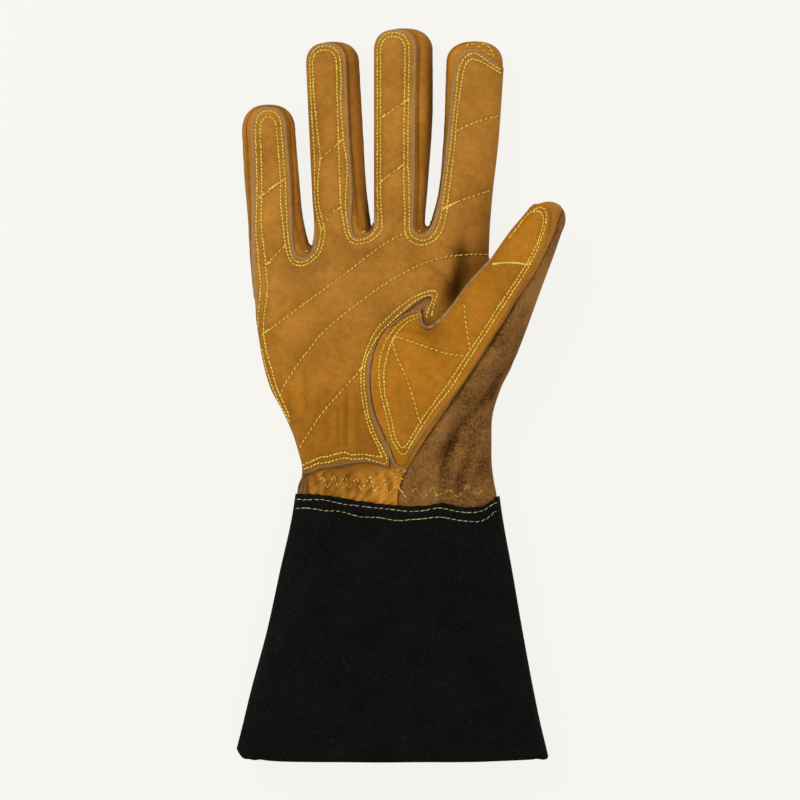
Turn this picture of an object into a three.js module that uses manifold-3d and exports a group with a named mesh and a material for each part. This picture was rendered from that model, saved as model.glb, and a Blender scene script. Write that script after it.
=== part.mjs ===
// A right-hand leather gauntlet glove, palm up, lying on the back of the hand.
// Millimetres. +X is the thumb's side, +Y the way the fingers point, +Z up from the palm.
// The back of the glove is flattened on the plane z = 0.

import * as THREE from 'three';
import { mergeVertices } from 'three/addons/utils/BufferGeometryUtils.js';
import Module from 'manifold-3d';

const wasm = await Module();
wasm.setup();

// Leather and fit
const HAND_WALL = 1.6; // grain leather and split suede of the hand
const PATCH_WALL = 1.2; // overlays on the palm and the thumb
const CUFF_WALL = 1.8; // split leather of the gauntlet
const GAP = 0.3; // between two pieces that are sewn together

// Heights of the seams over the resting plane
const BACK_SEAM = 5; // the back panel meets the gusset strips
const FRONT_SEAM = 15.5; // the gusset strips meet the finger fronts
const SIDE_SEAM = 8; // the palm meets the back where there is no strip
const THUMB_SEAM = 22; // the thumb's front meets its back, inside the web
const ABOVE = 60; // higher than every piece
const BELOW = -5; // lower than every piece

// Roundness of a section: 2 is an ellipse, more is boxier
const FINGER_ROUND = { top: 2.3, under: 3 };
const PALM_ROUND = { top: 2.9, under: 4 };
const THUMB_ROUND = { top: 2.2, under: 2.2 };
const CUFF_ROUND = { top: 2.2, under: 3.4 };
const FINGER_SIDES = 12;
const PALM_SIDES = 36;
const THUMB_SIDES = 16;
const CUFF_SIDES = 30;

const table = (columns, rows) =>
  rows.map((row) => Object.fromEntries(columns.map((name, i) => [name, row[i]])));

const SECTION = ['y', 'left', 'right', 'low', 'high'];
const FINGER = [...SECTION, 'patchLeft', 'patchRight'];

// One row for each section, from the knuckle to the start of the round tip.
// patchLeft and patchRight are where the overlay's edge crosses the section.
const FINGERS = {
  little: {
    tip: 138.9,
    patchTip: 136.2,
    rows: table(FINGER, [
      [46, -70.0, -40.0, -1, 22, -73.0, -50.5],
      [62, -71.6, -40.6, -1, 21.5, -69.6, -51.2],
      [70, -72.2, -43.2, -1, 21, -69.8, -52.4],
      [82, -72.8, -46.2, -0.6, 21, -70.1, -52.2],
      [102, -74.4, -48.4, -0.4, 20.5, -69.7, -52.7],
      [125, -75.6, -50.4, 0.6, 20, -70.5, -54.1],
    ]),
  },
  ring: {
    tip: 168.9,
    patchTip: 166.6,
    rows: table(FINGER, [
      [46, -45.0, -10.5, -1, 23, -43.0, -22.0],
      [64, -43.4, -10.6, -1, 22.5, -42.6, -22.6],
      [78, -40.6, -13.6, -1, 22, -42.6, -24.6],
      [94, -41.7, -15.9, -0.6, 21.5, -43.6, -24.2],
      [124, -42.9, -17.6, -0.4, 21, -45.0, -25.8],
      [157, -44.4, -19.5, 1, 20.5, -46.4, -26.7],
    ]),
  },
  middle: {
    tip: 175.3,
    patchTip: 173.0,
    rows: table(FINGER, [
      [46, -15.0, 14.5, -1, 23, -14.0, 5.0],
      [64, -14.2, 14.2, -1, 22.5, -14.0, 5.2],
      [79, -12.2, 11.9, -1, 22, -14.2, 5.5],
      [100, -12.0, 13.2, -0.6, 22, -14.2, 5.7],
      [130, -12.0, 15.1, -0.4, 21.5, -14.2, 6.0],
      [163, -12.1, 15.3, 1, 21, -14.2, 6.8],
    ]),
  },
  index: {
    tip: 169.1,
    patchTip: 163.4,
    rows: table(FINGER, [
      [46, 10.0, 41.0, -1, 23, 14.2, 45.0],
      [64, 10.6, 41.4, -1, 22.5, 15.2, 45.0],
      [79, 13.4, 41.8, -1, 22, 16.6, 45.0],
      [95, 17.4, 43.2, -0.6, 21.5, 19.4, 46.0],
      [118, 19.8, 45.8, -0.4, 21, 22.0, 48.0],
      [156, 21.4, 48.4, 1, 20.5, 25.6, 51.0],
    ]),
  },
};

// The palm from inside the cuff to the roots of the fingers; gather is the depth of the wrist's pleats
const PALM = table([...SECTION, 'gather'], [
  [-60, -45.4, 42.4, 2.2, 30, 0],
  [-46.4, -46.8, 44.0, 2.2, 30, 0],
  [-43.4, -48.4, 45.0, -0.6, 30.4, 0.9],
  [-39.5, -47.5, 43.8, -1, 30, 1.2],
  [-34, -46.8, 43.3, -1, 30.6, 0],
  [-22, -49.3, 43.0, -1, 31, 0],
  [-10, -54.1, 43.6, -1, 31, 0],
  [3, -60.8, 47.5, -1, 31, 0],
  [17, -64.8, 53.4, -1, 30.5, 0],
  [29, -66.8, 51.0, -1, 29.5, 0],
  [44, -69.4, 44.4, -1, 27.5, 0],
  [57, -71.6, 41.8, -1, 24.5, 0],
  [68, -71.8, 41.2, -1, 20, 0],
]);

// The thumb leans out from the palm; y runs along it, left and right go across it
const THUMB_ROOT = { x: 13.8, y: -11.9 };
const THUMB_LEAN = 29; // degrees from +Y towards +X
const THUMB = {
  tip: 118.6,
  rows: table(SECTION, [
    [-34, -2, 8, 12, 28],
    [-20, -19, 16, 6, 33],
    [-4, -34, 17, 3, 36],
    [14, -41, 18.5, 2, 38.5],
    [28, -40, 20, 3, 40.5],
    [37, -27, 21, 6, 41.5],
    [46, -16.8, 20.8, 9, 42],
    [62, -13.6, 18.8, 10, 42],
    [80, -11.8, 16.0, 12, 41.5],
    [97, -10.0, 13.6, 13.5, 40],
    [107, -8.2, 12.2, 15, 38.5],
  ]),
};

const CUFF = table(SECTION, [
  [-40, -49.4, 46.0, -0.6, 33.2],
  [-56, -51.5, 47.8, -0.8, 33.6],
  [-84, -57.7, 53.4, -0.8, 34],
  [-112, -63.9, 58.3, -0.8, 34],
  [-140, -71.4, 63.6, -0.8, 33.4],
  [-180, -81.4, 71.4, -0.6, 32],
]);

// Seams and edges in plan, as points [x, y] that a smooth curve passes through
const THUMB_SEAM_IN = [
  [0.7, -40], [-4.4, -26.6], [-11.7, -9.8], [-14.2, 5.4], [-12.3, 20.4], [-2.4, 34.2], [9, 41],
];
const THUMB_LEFT_SIDE = [[11, 33], [17, 30], [24, 36.5], [40, 57.5], [60, 90]];
const SUEDE_SEAM = [
  [75.4, 88], [71.3, 76.3], [56.8, 50.8], [43.7, 29.7], [29.2, 5], [14.6, -16.1], [0.7, -40],
];
const SUEDE_FOLD = [[60, 27], [48.9, 13.8], [35.1, -5.7], [20.9, -26.1], [17.6, -45]];
const PATCH_FOOT = [[-50, -37.6], [-39.4, -34.8], [-23.3, -32.5], [-6.4, -33]];
const PATCH_BY_THUMB = [
  [-6.4, -33], [-10.4, -17.6], [-15.4, -1.9], [-15.9, 12.8], [-10.4, 28], [2.4, 40.9], [16.6, 48],
];
const THUMB_PATCH_LEFT = [[1, -30.5], [-6.4, -16], [-10.8, 4], [-9, 22], [-1, 34.6], [9, 39.5]];
const THUMB_PATCH_RIGHT = [[66, 91], [69.8, 84], [62, 61.5], [43.6, 31.9], [27.4, 5.7], [1, -30.5]];
const CUFF_TOP = [[-54, -46.2], [-37.3, -47.2], [-17.9, -50.1], [4, -52.2], [20, -51.2], [31, -52.8], [50, -47.6]];
const CUFF_FOOT = [[74, -172.2], [68.4, -172.8], [41, -173.6], [-60, -174.4], [-75, -173], [-79.5, -166]];
const THUMB_LENGTH = [[11, 33], [16, 29], [30, 27], [60, 25], [90, 60], [90, 100], [50, 100], [20, 50]];
const WRIST_TAB_LEFT = -43.7; // the suede wraps this far round to the front at the wrist

const COLOURS = {
  tan: 0xad7933,
  golden: 0xae7a2f,
  gusset: 0x8a5622,
  suede: 0x77522a,
  black: 0x1b1a17,
};

// Solids

const solidOf = (geometry) => {
  geometry.deleteAttribute('normal');
  geometry.deleteAttribute('uv');
  const merged = mergeVertices(geometry, 1e-4);
  return new wasm.Manifold(new wasm.Mesh({
    numProp: 3,
    vertProperties: new Float32Array(merged.attributes.position.array),
    triVerts: new Uint32Array(merged.index.array),
  }));
};

const join = (solids) => solids.reduce((a, b) => a.add(b));

const power = (value, round) => Math.sign(value) * Math.abs(value) ** (2 / round);

// A ring of points [across, z]: a squashed superellipse, flattened where it meets the resting plane
function ring(row, sides, round, grow) {
  const middle = (row.left + row.right) / 2;
  const half = (row.right - row.left) / 2 + grow;
  const waist = (Math.max(row.low, 0) + row.high) / 2;
  const points = [];
  for (let i = 0; i < sides; i++) {
    const angle = (2 * Math.PI * (i + 0.5)) / sides;
    const up = Math.sin(angle) > 0;
    const reach = up ? row.high + grow - waist : waist - row.low + grow;
    const pleat = up && row.gather ? row.gather * (i % 2 ? -1 : 0) : 0;
    const shape = up ? round.top : round.under;
    points.push([
      middle + half * power(Math.cos(angle), shape),
      Math.max(waist + (reach + pleat) * power(Math.sin(angle), shape), -grow),
    ]);
  }
  return points;
}

// The rows of a finger or thumb with rings added that close its tip in a round
function withTip(rows, tip, grow) {
  const last = rows.at(-1);
  const middle = (last.left + last.right) / 2;
  const waist = (last.low + last.high) / 2;
  const rise = tip + grow - last.y;
  const ends = [0.45, 0.75, 0.93].map((part) => {
    const size = (1 - part ** 2.4) ** (1 / 2.4);
    const half = size * ((last.right - last.left) / 2 + grow) - grow;
    const reach = size * ((last.high - last.low) / 2 + grow) - grow;
    return {
      y: last.y + rise * part,
      left: middle - half,
      right: middle + half,
      low: waist - reach,
      high: waist + reach,
    };
  });
  return [...rows, ...ends];
}

// A closed solid carried through the rings; place turns [across, along, z] into [x, y, z]
function loft(rows, sides, round, grow, place) {
  const rings = rows.map((row) => ring(row, sides, round, grow).map(([u, z]) => place(u, row.y, z)));
  const first = rings[0];
  const last = rings.at(-1);
  const mean = (points) => points[0].map((_, k) => points.reduce((sum, p) => sum + p[k], 0) / sides);
  const positions = [...rings.flat(), mean(first), mean(last)].flat();
  const triangles = [];
  for (let r = 0; r < rings.length; r++) {
    for (let i = 0; i < sides; i++) {
      const a = r * sides + i;
      const b = r * sides + ((i + 1) % sides);
      if (r < rings.length - 1) triangles.push(a, a + sides, b, b, a + sides, b + sides);
      if (r === 0) triangles.push(a, b, rings.length * sides);
      if (r === rings.length - 1) triangles.push(b, a, rings.length * sides + 1);
    }
  }
  const geometry = new THREE.BufferGeometry();
  geometry.setAttribute('position', new THREE.Float32BufferAttribute(positions, 3));
  geometry.setIndex(triangles);
  return solidOf(geometry);
}

const upright = (u, along, z) => [u, along, z];

const lean = THREE.MathUtils.degToRad(THUMB_LEAN);
const alongThumb = (u, along, z) => [
  THUMB_ROOT.x + along * Math.sin(lean) + u * Math.cos(lean),
  THUMB_ROOT.y + along * Math.cos(lean) - u * Math.sin(lean),
  z,
];

const fingerForm = (finger, grow) =>
  loft(withTip(finger.rows, finger.tip, grow), FINGER_SIDES, FINGER_ROUND, grow, upright);

const thumbForm = (grow) =>
  loft(withTip(THUMB.rows, THUMB.tip, grow), THUMB_SIDES, THUMB_ROUND, grow, alongThumb);

// The whole hand, grown or shrunk by a leather's thickness; past moves its open wrist end
function handForm(grow, past = 0) {
  const palm = PALM.map((row, i) => {
    if (i === 0) return { ...row, y: row.y - past };
    return i === PALM.length - 1 ? { ...row, y: row.y + grow } : row;
  });
  return join([
    loft(palm, PALM_SIDES, PALM_ROUND, grow, upright),
    ...Object.values(FINGERS).map((finger) => fingerForm(finger, grow)),
    thumbForm(grow),
  ]);
}

const smooth = (points, steps = 2) =>
  new THREE.CatmullRomCurve3(points.map(([x, y]) => new THREE.Vector3(x, y, 0)), false, 'centripetal')
    .getPoints((points.length - 1) * steps)
    .map((p) => [p.x, p.y]);

// Moves each corner of a plan outline outwards by grow
function offset(outline, grow) {
  const turn = THREE.ShapeUtils.area(outline.map(([x, y]) => new THREE.Vector2(x, y))) > 0 ? 1 : -1;
  return outline.map(([x, y], i) => {
    const before = outline.at(i - 1);
    const after = outline[(i + 1) % outline.length];
    const way = new THREE.Vector2(after[0] - before[0], after[1] - before[1]).normalize();
    return [x + turn * grow * way.y, y - turn * grow * way.x];
  });
}

// An upright prism over a plan outline
function prism(outline, low, high, grow = 0) {
  const shape = new THREE.Shape(offset(outline, grow).map(([x, y]) => new THREE.Vector2(x, y)));
  const depth = high - low + 2 * grow;
  return solidOf(new THREE.ExtrudeGeometry(shape, { depth, bevelEnabled: false }).translate(0, 0, low - grow));
}

// Only the main body of a cut piece: slivers that a cut leaves behind are scrap
function mainBody(solid) {
  const bodies = solid.decompose();
  return bodies.reduce((a, b) => (a.volume() > b.volume() ? a : b));
}

// Where each piece of the hand lies; each takes grow, and all but the last give way to those before

const fingerMiddle = (finger) => finger.rows.map((row) => [(row.left + row.right) / 2, row.y]);

function thumbFrontRegion(grow) {
  const outline = [...smooth(THUMB_SEAM_IN), ...smooth(THUMB_LEFT_SIDE), [66, 98], ...smooth(SUEDE_SEAM).slice(0, -1)];
  return prism(outline, SIDE_SEAM, ABOVE, grow).subtract(prism(THUMB_LENGTH, BELOW, THUMB_SEAM, -grow));
}

function thumbBackRegion(grow) {
  const outline = [...smooth(SUEDE_SEAM), [0.7, -70], [17.6, -70], ...smooth(SUEDE_FOLD).reverse(), [90, 50], [90, 100]];
  const underside = prism(THUMB_LENGTH, BELOW, THUMB_SEAM - GAP, grow).intersect(thumbForm(grow + GAP));
  return prism(outline, SIDE_SEAM, ABOVE, grow).add(underside);
}

// The side walls between two fingers, joined in the crotch; without an outer finger, the hand's edge
function stripRegion(left, right, foot) {
  const first = left ? fingerMiddle(left).filter(([, y]) => y > foot) : [];
  const second = right ? fingerMiddle(right).filter(([, y]) => y > foot) : [];
  const leftFoot = left ? first[0][0] : -90;
  const rightFoot = right ? second[0][0] : 90;
  const leftTop = left ? first.at(-1)[0] : -90;
  const rightTop = right ? second.at(-1)[0] : 90;
  const outline = [
    [leftFoot, foot], ...first, [leftTop, 180], [rightTop, 180], ...second.reverse(), [rightFoot, foot],
  ].filter(([x, y], i, all) => i === 0 || x !== all[i - 1][0] || y !== all[i - 1][1]);
  return (grow) => prism(outline, BACK_SEAM, FRONT_SEAM, grow);
}

function palmFrontRegion(grow) {
  const fronts = prism([[-90, 40], [90, 40], [90, 180], [-90, 180]], FRONT_SEAM, ABOVE, grow);
  const palm = prism([
    [WRIST_TAB_LEFT, -36], [WRIST_TAB_LEFT, -70], [0.7, -70], [0.7, -40], [43.7, 29.7], [60, 30],
    [90, 50], [90, 180], ...fingerMiddle(FINGERS.index).reverse().slice(0, 3), [28, 66], [-90, 62], [-90, -36],
  ], SIDE_SEAM, ABOVE, grow);
  return fronts.add(palm);
}

const REGIONS = {
  thumb_front: thumbFrontRegion,
  thumb_back: thumbBackRegion,
  little_finger_side: stripRegion(null, FINGERS.little, 45),
  fourchette_little_ring: stripRegion(FINGERS.little, FINGERS.ring, 64),
  fourchette_ring_middle: stripRegion(FINGERS.ring, FINGERS.middle, 64),
  fourchette_middle_index: stripRegion(FINGERS.middle, FINGERS.index, 64),
  palm_front: palmFrontRegion,
};

function handPieces() {
  let rest = handForm(0).subtract(handForm(-HAND_WALL, 10));
  const pieces = {};
  for (const [name, region] of Object.entries(REGIONS)) {
    pieces[name] = mainBody(rest.intersect(region(0)));
    rest = rest.subtract(region(GAP));
  }
  pieces.back_panel = mainBody(rest);
  return pieces;
}

// A finger's lobe of the overlay, up its left edge, round its tip and down its right edge
function lobe(finger, foot) {
  const rows = finger.rows.filter((row) => row.y >= foot);
  const top = rows.at(-1);
  const middle = (top.patchLeft + top.patchRight) / 2;
  const half = (top.patchRight - top.patchLeft) / 2;
  const rise = finger.patchTip - top.y;
  const arc = [150, 120, 90, 60, 30].map((degrees) => {
    const angle = THREE.MathUtils.degToRad(degrees);
    return [middle + half * Math.cos(angle), top.y + rise * Math.sin(angle)];
  });
  return [
    ...rows.map((row) => [row.patchLeft, row.y]),
    ...arc,
    ...rows.reverse().map((row) => [row.patchRight, row.y]),
  ];
}

function palmPatchOutline() {
  return [
    [-80, -37.6], [-80, 44],
    ...lobe(FINGERS.little, 60), [-49, 65.6], [-44.5, 65.6],
    ...lobe(FINGERS.ring, 70), [-21, 74.6], [-16.5, 74.6],
    ...lobe(FINGERS.middle, 70), [8, 74], [13, 74],
    ...lobe(FINGERS.index, 70), [60, 50], [30, 40], [14.5, 34],
    ...smooth(PATCH_BY_THUMB).reverse(),
    ...smooth(PATCH_FOOT).reverse(),
  ];
}

// A thin overlay that follows the form under it
function overlay(outline, low, keepClear) {
  const layer = handForm(GAP + PATCH_WALL).subtract(handForm(GAP));
  const piece = layer.intersect(prism(outline, low, ABOVE));
  return mainBody(keepClear ? piece.subtract(keepClear) : piece);
}

const palmPatch = () =>
  overlay(palmPatchOutline(), FRONT_SEAM - 2, thumbForm(2 * GAP + PATCH_WALL));

const thumbPatch = () =>
  overlay([...smooth(THUMB_PATCH_LEFT), [17, 29], [30, 44], [50, 80], ...smooth(THUMB_PATCH_RIGHT)], THUMB_SEAM + 4);

// The gauntlet: a wide sleeve, open at both ends, trimmed to its wavy top and rounded foot
function cuff() {
  const outer = loft([...CUFF].reverse(), CUFF_SIDES, CUFF_ROUND, 0, upright);
  const inner = loft([...CUFF].reverse().map((row, i) => {
    const past = i === 0 ? -5 : i === CUFF.length - 1 ? 5 : 0;
    return { ...row, y: row.y + past };
  }), CUFF_SIDES, CUFF_ROUND, -CUFF_WALL, upright);
  const trim = prism([[-90, -46.2], ...smooth(CUFF_TOP), [90, -47.6], [90, -172.2], ...smooth(CUFF_FOOT), [-90, -166]], BELOW, ABOVE);
  return mainBody(outer.subtract(inner).intersect(trim));
}

// The scene

function meshOf(name, solid, colour, roughness) {
  const { vertProperties, triVerts } = solid.getMesh();
  const geometry = new THREE.BufferGeometry();
  geometry.setAttribute('position', new THREE.BufferAttribute(vertProperties, 3));
  geometry.setIndex(new THREE.BufferAttribute(triVerts, 1));
  geometry.computeVertexNormals();
  const mesh = new THREE.Mesh(geometry, new THREE.MeshStandardMaterial({ color: colour, roughness, metalness: 0 }));
  mesh.name = name;
  return mesh;
}

const hand = handPieces();
const glove = new THREE.Group();
glove.add(
  meshOf('palm_front', hand.palm_front, COLOURS.golden, 0.55),
  meshOf('palm_patch', palmPatch(), COLOURS.tan, 0.6),
  meshOf('thumb_front', hand.thumb_front, COLOURS.golden, 0.55),
  meshOf('thumb_patch', thumbPatch(), COLOURS.tan, 0.6),
  meshOf('thumb_back', hand.thumb_back, COLOURS.suede, 0.95),
  meshOf('back_panel', hand.back_panel, COLOURS.suede, 0.95),
  meshOf('little_finger_side', hand.little_finger_side, COLOURS.gusset, 0.6),
  meshOf('fourchette_little_ring', hand.fourchette_little_ring, COLOURS.gusset, 0.6),
  meshOf('fourchette_ring_middle', hand.fourchette_ring_middle, COLOURS.gusset, 0.6),
  meshOf('fourchette_middle_index', hand.fourchette_middle_index, COLOURS.gusset, 0.6),
  meshOf('cuff', cuff(), COLOURS.black, 0.9),
);

export default glove;
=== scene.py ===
"""A leather work glove with a gauntlet cuff, lying palm up: panels, overlays, stitching and a small studio.

Sizes are millimetres in the part's frame: +X is the thumb's side, +Y the way the fingers point, +Z up
from the palm. They become metres where a mesh is made.
"""

import math

import bmesh
import bpy
import numpy as np
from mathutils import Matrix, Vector
from mathutils.geometry import delaunay_2d_cdt


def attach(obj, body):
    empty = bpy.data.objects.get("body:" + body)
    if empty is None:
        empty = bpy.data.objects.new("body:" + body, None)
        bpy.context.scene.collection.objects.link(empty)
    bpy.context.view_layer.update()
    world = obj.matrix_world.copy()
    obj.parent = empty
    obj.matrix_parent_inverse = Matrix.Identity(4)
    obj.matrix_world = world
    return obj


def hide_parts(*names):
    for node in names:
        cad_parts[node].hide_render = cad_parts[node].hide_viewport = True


bl_info = {
    "name": "Leather Gauntlet Glove",
    "version": (1, 0, 0),
    "blender": (4, 5, 0),
    "location": "3D View > Sidebar > Glove",
    "description": "Builds a leather gauntlet work glove from sewn panels",
    "category": "Add Mesh",
}

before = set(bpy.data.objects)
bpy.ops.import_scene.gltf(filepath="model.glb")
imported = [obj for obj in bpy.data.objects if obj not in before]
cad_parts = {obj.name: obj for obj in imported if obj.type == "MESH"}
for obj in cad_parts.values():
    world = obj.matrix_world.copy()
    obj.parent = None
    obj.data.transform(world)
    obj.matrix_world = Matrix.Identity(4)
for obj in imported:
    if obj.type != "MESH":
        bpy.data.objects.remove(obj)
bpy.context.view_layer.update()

MM = 0.001
BODY = "root"
PHOTO_CENTRE = (-0.5, -2.4)  # the point under the middle of the picture


def linear(colour):
    """An sRGB hex colour as linear red, green and blue."""
    parts = np.array([int(colour[i:i + 2], 16) for i in (1, 3, 5)]) / 255
    return tuple(np.where(parts <= 0.04045, parts / 12.92, ((parts + 0.055) / 1.055) ** 2.4).tolist())


def table(columns, rows):
    """Rows of numbers as one array for each named column."""
    return dict(zip(columns.split(), np.array(rows, float).T))


# The forms: each row is a section, low and high are its heights over the floor

FINGER = "y left right seam_left seam_right patch_left patch_right low high"
FINGERS = {
    "little": {
        "tip": 138.2, "seam_tip": 137.2, "patch_tip": 136.3,
        "rows": table(FINGER, [
            [46, -70.0, -40.0, -69.9, -46.0, -69.6, -49.6, 0, 22],
            [62, -71.6, -40.6, -71.2, -47.0, -70.6, -50.9, 0, 21.5],
            [70, -72.2, -43.2, -71.5, -47.9, -70.8, -50.9, 0, 21],
            [82, -72.8, -46.2, -71.5, -50.1, -70.9, -51.3, 0, 21],
            [102, -74.5, -48.4, -72.1, -51.1, -70.6, -52.2, 0, 20.5],
            [125, -75.7, -50.3, -73.3, -52.6, -71.4, -54.0, 0.8, 20],
        ]),
    },
    "ring": {
        "tip": 168.0, "seam_tip": 167.2, "patch_tip": 166.9,
        "rows": table(FINGER, [
            [46, -45.0, -10.5, -44.9, -16.0, -44.9, -20.0, 0, 23],
            [64, -43.0, -10.8, -42.9, -17.2, -42.9, -21.6, 0, 22.5],
            [78, -40.2, -13.7, -40.1, -19.9, -41.3, -23.4, 0, 22],
            [94, -41.1, -16.0, -41.0, -21.6, -42.2, -22.9, 0, 21.5],
            [124, -42.5, -18.0, -42.4, -24.1, -43.6, -24.5, 0, 21],
            [157, -44.0, -19.9, -43.9, -25.3, -45.1, -25.9, 1, 20.5],
        ]),
    },
    "middle": {
        "tip": 174.4, "seam_tip": 173.6, "patch_tip": 173.3,
        "rows": table(FINGER, [
            [46, -14.0, 14.5, -13.9, 8.6, -13.9, 5.0, 0, 23],
            [64, -13.2, 14.2, -13.1, 7.6, -13.1, 5.4, 0, 22.5],
            [79, -11.9, 11.6, -11.8, 7.4, -12.9, 6.0, 0, 22],
            [100, -11.8, 12.8, -11.7, 8.1, -12.9, 6.6, 0, 22],
            [130, -11.8, 14.9, -11.7, 8.0, -12.9, 6.9, 0, 21.5],
            [163, -11.8, 15.1, -11.7, 8.6, -12.9, 7.4, 1, 21],
        ]),
    },
    "index": {
        "tip": 168.2, "seam_tip": 167.2, "patch_tip": 162.4,
        "rows": table(FINGER, [
            [46, 10.0, 40.4, 12.0, 40.3, 14.0, 40.3, 0, 23],
            [64, 10.8, 40.6, 12.2, 40.5, 14.6, 41.6, 0, 22.5],
            [79, 13.4, 41.0, 14.0, 40.9, 14.9, 42.2, 0, 22],
            [95, 17.5, 42.4, 17.9, 42.3, 18.4, 43.5, 0, 21.5],
            [118, 19.9, 45.0, 20.3, 44.9, 21.2, 46.1, 0, 21],
            [157, 21.5, 48.5, 22.1, 48.3, 24.7, 48.9, 1, 20.5],
        ]),
    },
}
PALM = {
    "tip": 84.0,
    "rows": table("y left right low high", [
        [-62, -49.4, 44.6, 1.6, 30],
        [-46.4, -49.3, 45.2, 1.6, 30],
        [-42.5, -48.7, 44.4, 0.4, 30.2],
        [-38.8, -47.1, 43.8, 0, 30.2],
        [-34, -46.6, 43.2, 0, 30.6],
        [-22, -48.9, 43.0, 0, 31],
        [-10, -53.8, 43.4, 0, 31],
        [3, -60.6, 47.3, 0, 31],
        [17, -64.6, 53.2, 0, 30.5],
        [29, -66.6, 51.0, 0, 29.5],
        [44, -69.2, 44.4, 0, 27.5],
        [57, -70.8, 41.4, 0, 24.5],
        [66, -71.6, 40.6, 0, 21.5],
    ]),
}
THUMB = {
    "tip": 118.4, "peak": 3.3,
    "rows": table("y left right low high", [
        [-34, -2, 8, 12, 27],
        [-20, -19, 16, 6, 32],
        [-4, -34, 17, 3, 35.5],
        [14, -41, 18.5, 2, 38],
        [28, -40, 20, 3, 40],
        [36, -21, 21, 6, 41.5],
        [46, -17, 20.8, 9, 42],
        [54, -15.4, 19.8, 9.5, 42],
        [62, -14.4, 18.6, 10, 42],
        [70, -13.0, 17.3, 11, 41.8],
        [80, -11.2, 15.7, 12, 41.5],
        [97, -9.2, 13.2, 13.5, 40],
        [108, -7.0, 11.3, 15, 38.5],
    ]),
}
THUMB_ROOT = (13.8, -11.9)
THUMB_LEAN = math.radians(29)  # from +Y towards +X
THUMB_SIDES = {"left": (-1, 1.8), "right": (1, 1.9)}  # which side, and how boxy its half of the tip is
CUFF = table("y left right high", [
    [-176, -79.6, 70.4, 32.4],
    [-140, -71.2, 62.9, 33.6],
    [-112, -63.7, 57.7, 34],
    [-84, -57.6, 52.9, 34],
    [-56, -51.5, 47.9, 33.6],
    [-44, -49.7, 46.3, 33.2],
])

FINGER_ROUND = 2.3  # 2 is an ellipse, more is boxier
PALM_ROUND = 2.9
THUMB_ROUND = 2.2
UNDER_ROUND = 3.6
CUFF_ROUND = {1: 2.2, -1: 3.4}  # above and under
TIP_ROUND = 2.4  # of the fingertips in plan
BLEND = 2.2  # how softly one form runs into the next
ROOT_RUN = 12  # the length over which a form rounds off at its root
SIDE_STEPS = 84
TIP_STEPS = 22
NOTCH_STEPS = 26
BULGE_STEPS = 22
TUCK_STEPS = 9

# Dents beside the thumb: the centre, the reach each way and the depth
WEB_DENT = ((-15, 57), (7, 11), 7.0)  # across and along the thumb
WEB_CREASE = ((28.6, 58), (3.2, 12), 2.2)  # in plan, leaning a little to the right
WEB_CREASE_LEAN = 0.12

# Plan lines, as points that a smooth line passes through

SIDE_NOTCHES = [  # the ends of the gaps between fingers, at the sides' widest height
    [(-44.4, 74.5), (-43.8, 72.4), (-42.7, 71.3), (-41.6, 72.2), (-41.0, 74.5)],
    [(-14.6, 83), (-14.3, 81.2), (-13.5, 80.3), (-12.5, 81.2), (-11.9, 83)],
    [(11.4, 83), (11.7, 81), (12.6, 80.3), (13.5, 81), (14.0, 83)],
]
FRONT_NOTCHES = [
    [(-48.4, 72), (-46.9, 69.4), (-44.8, 67.7), (-42.6, 67.9), (-41.4, 70.2), (-40.9, 74)],
    [(-20.5, 81.5), (-19.8, 79.5), (-18.8, 78.1), (-17.2, 77.3), (-15.4, 77.2), (-13.9, 78),
     (-12.9, 79.6), (-12.2, 82)],
    [(7.4, 82), (7.8, 79.4), (9.2, 77.6), (10.9, 77.3), (12.6, 78.4), (13.9, 80.2), (14.9, 82.5)],
]
PATCH_NOTCHES = [
    [(-51.0, 74), (-50.7, 71), (-50.2, 68.4), (-49, 66.4), (-47, 65.3), (-44.6, 65.8), (-42.8, 67.6),
     (-41.9, 70.2), (-41.8, 74)],
    [(-23.3, 82), (-23.2, 79.5), (-22.8, 77.4), (-22, 75.7), (-20.6, 74.7), (-18.6, 74.5), (-16.5, 75.1),
     (-14.8, 76.4), (-13.6, 78.2), (-13.0, 80.4), (-12.9, 83)],
    [(6.1, 83), (6.1, 80), (6.5, 78.2), (7.4, 76.9), (8.8, 76.2), (10.5, 76.3), (12, 77.2), (13.3, 78.8),
     (14.6, 81), (15.9, 84)],
]
INDEX_TIP = [
    (24.6, 150), (25.1, 155.7), (26.0, 158.9), (28.0, 161.6), (30.1, 163.2), (32.9, 163.9), (35.6, 163.8),
    (37.6, 163.1), (39.9, 161.4), (42.7, 159.2), (45.9, 157.0), (48.4, 155.8),
]
THUMB_SEAM_IN = [
    (0.7, -38.9), (-1.8, -33.2), (-4.4, -26.6), (-8.0, -17.8), (-11.7, -9.8), (-13.5, -1.9), (-14.2, 5.4),
    (-13.9, 12.7), (-12.6, 20.2), (-9.9, 26.6), (-6.9, 31.2), (-2.5, 35.4), (1.0, 37.8), (5.0, 39.5),
    (9.2, 40.2),
]
THUMB_CROTCH = [(9.2, 40.2), (9.3, 37.4), (9.5, 34.6), (10.5, 32.6), (12.6, 31.4), (15.2, 31.8),
                (17.6, 33.5)]
SUEDE_SEAM = [
    (75.4, 87.6), (74.6, 84.0), (72.0, 76.0), (69.1, 69.7), (66.2, 63.9), (62.8, 57.1), (57.0, 48.4),
    (52.4, 41.6), (49.0, 35.6), (44.6, 28.8), (39.4, 20.4), (29.2, 5.0), (21.9, -5.9), (14.6, -16.1),
    (3.6, -33.8), (0.7, -38.9),
]
SUEDE_FOLD = [
    (54.2, 18.4), (48.9, 12.6), (41.8, 3.8), (35.1, -5.7), (26.6, -15.7), (20.9, -26.1), (18.5, -34.7),
    (17.6, -44), (17.2, -62),
]
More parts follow.
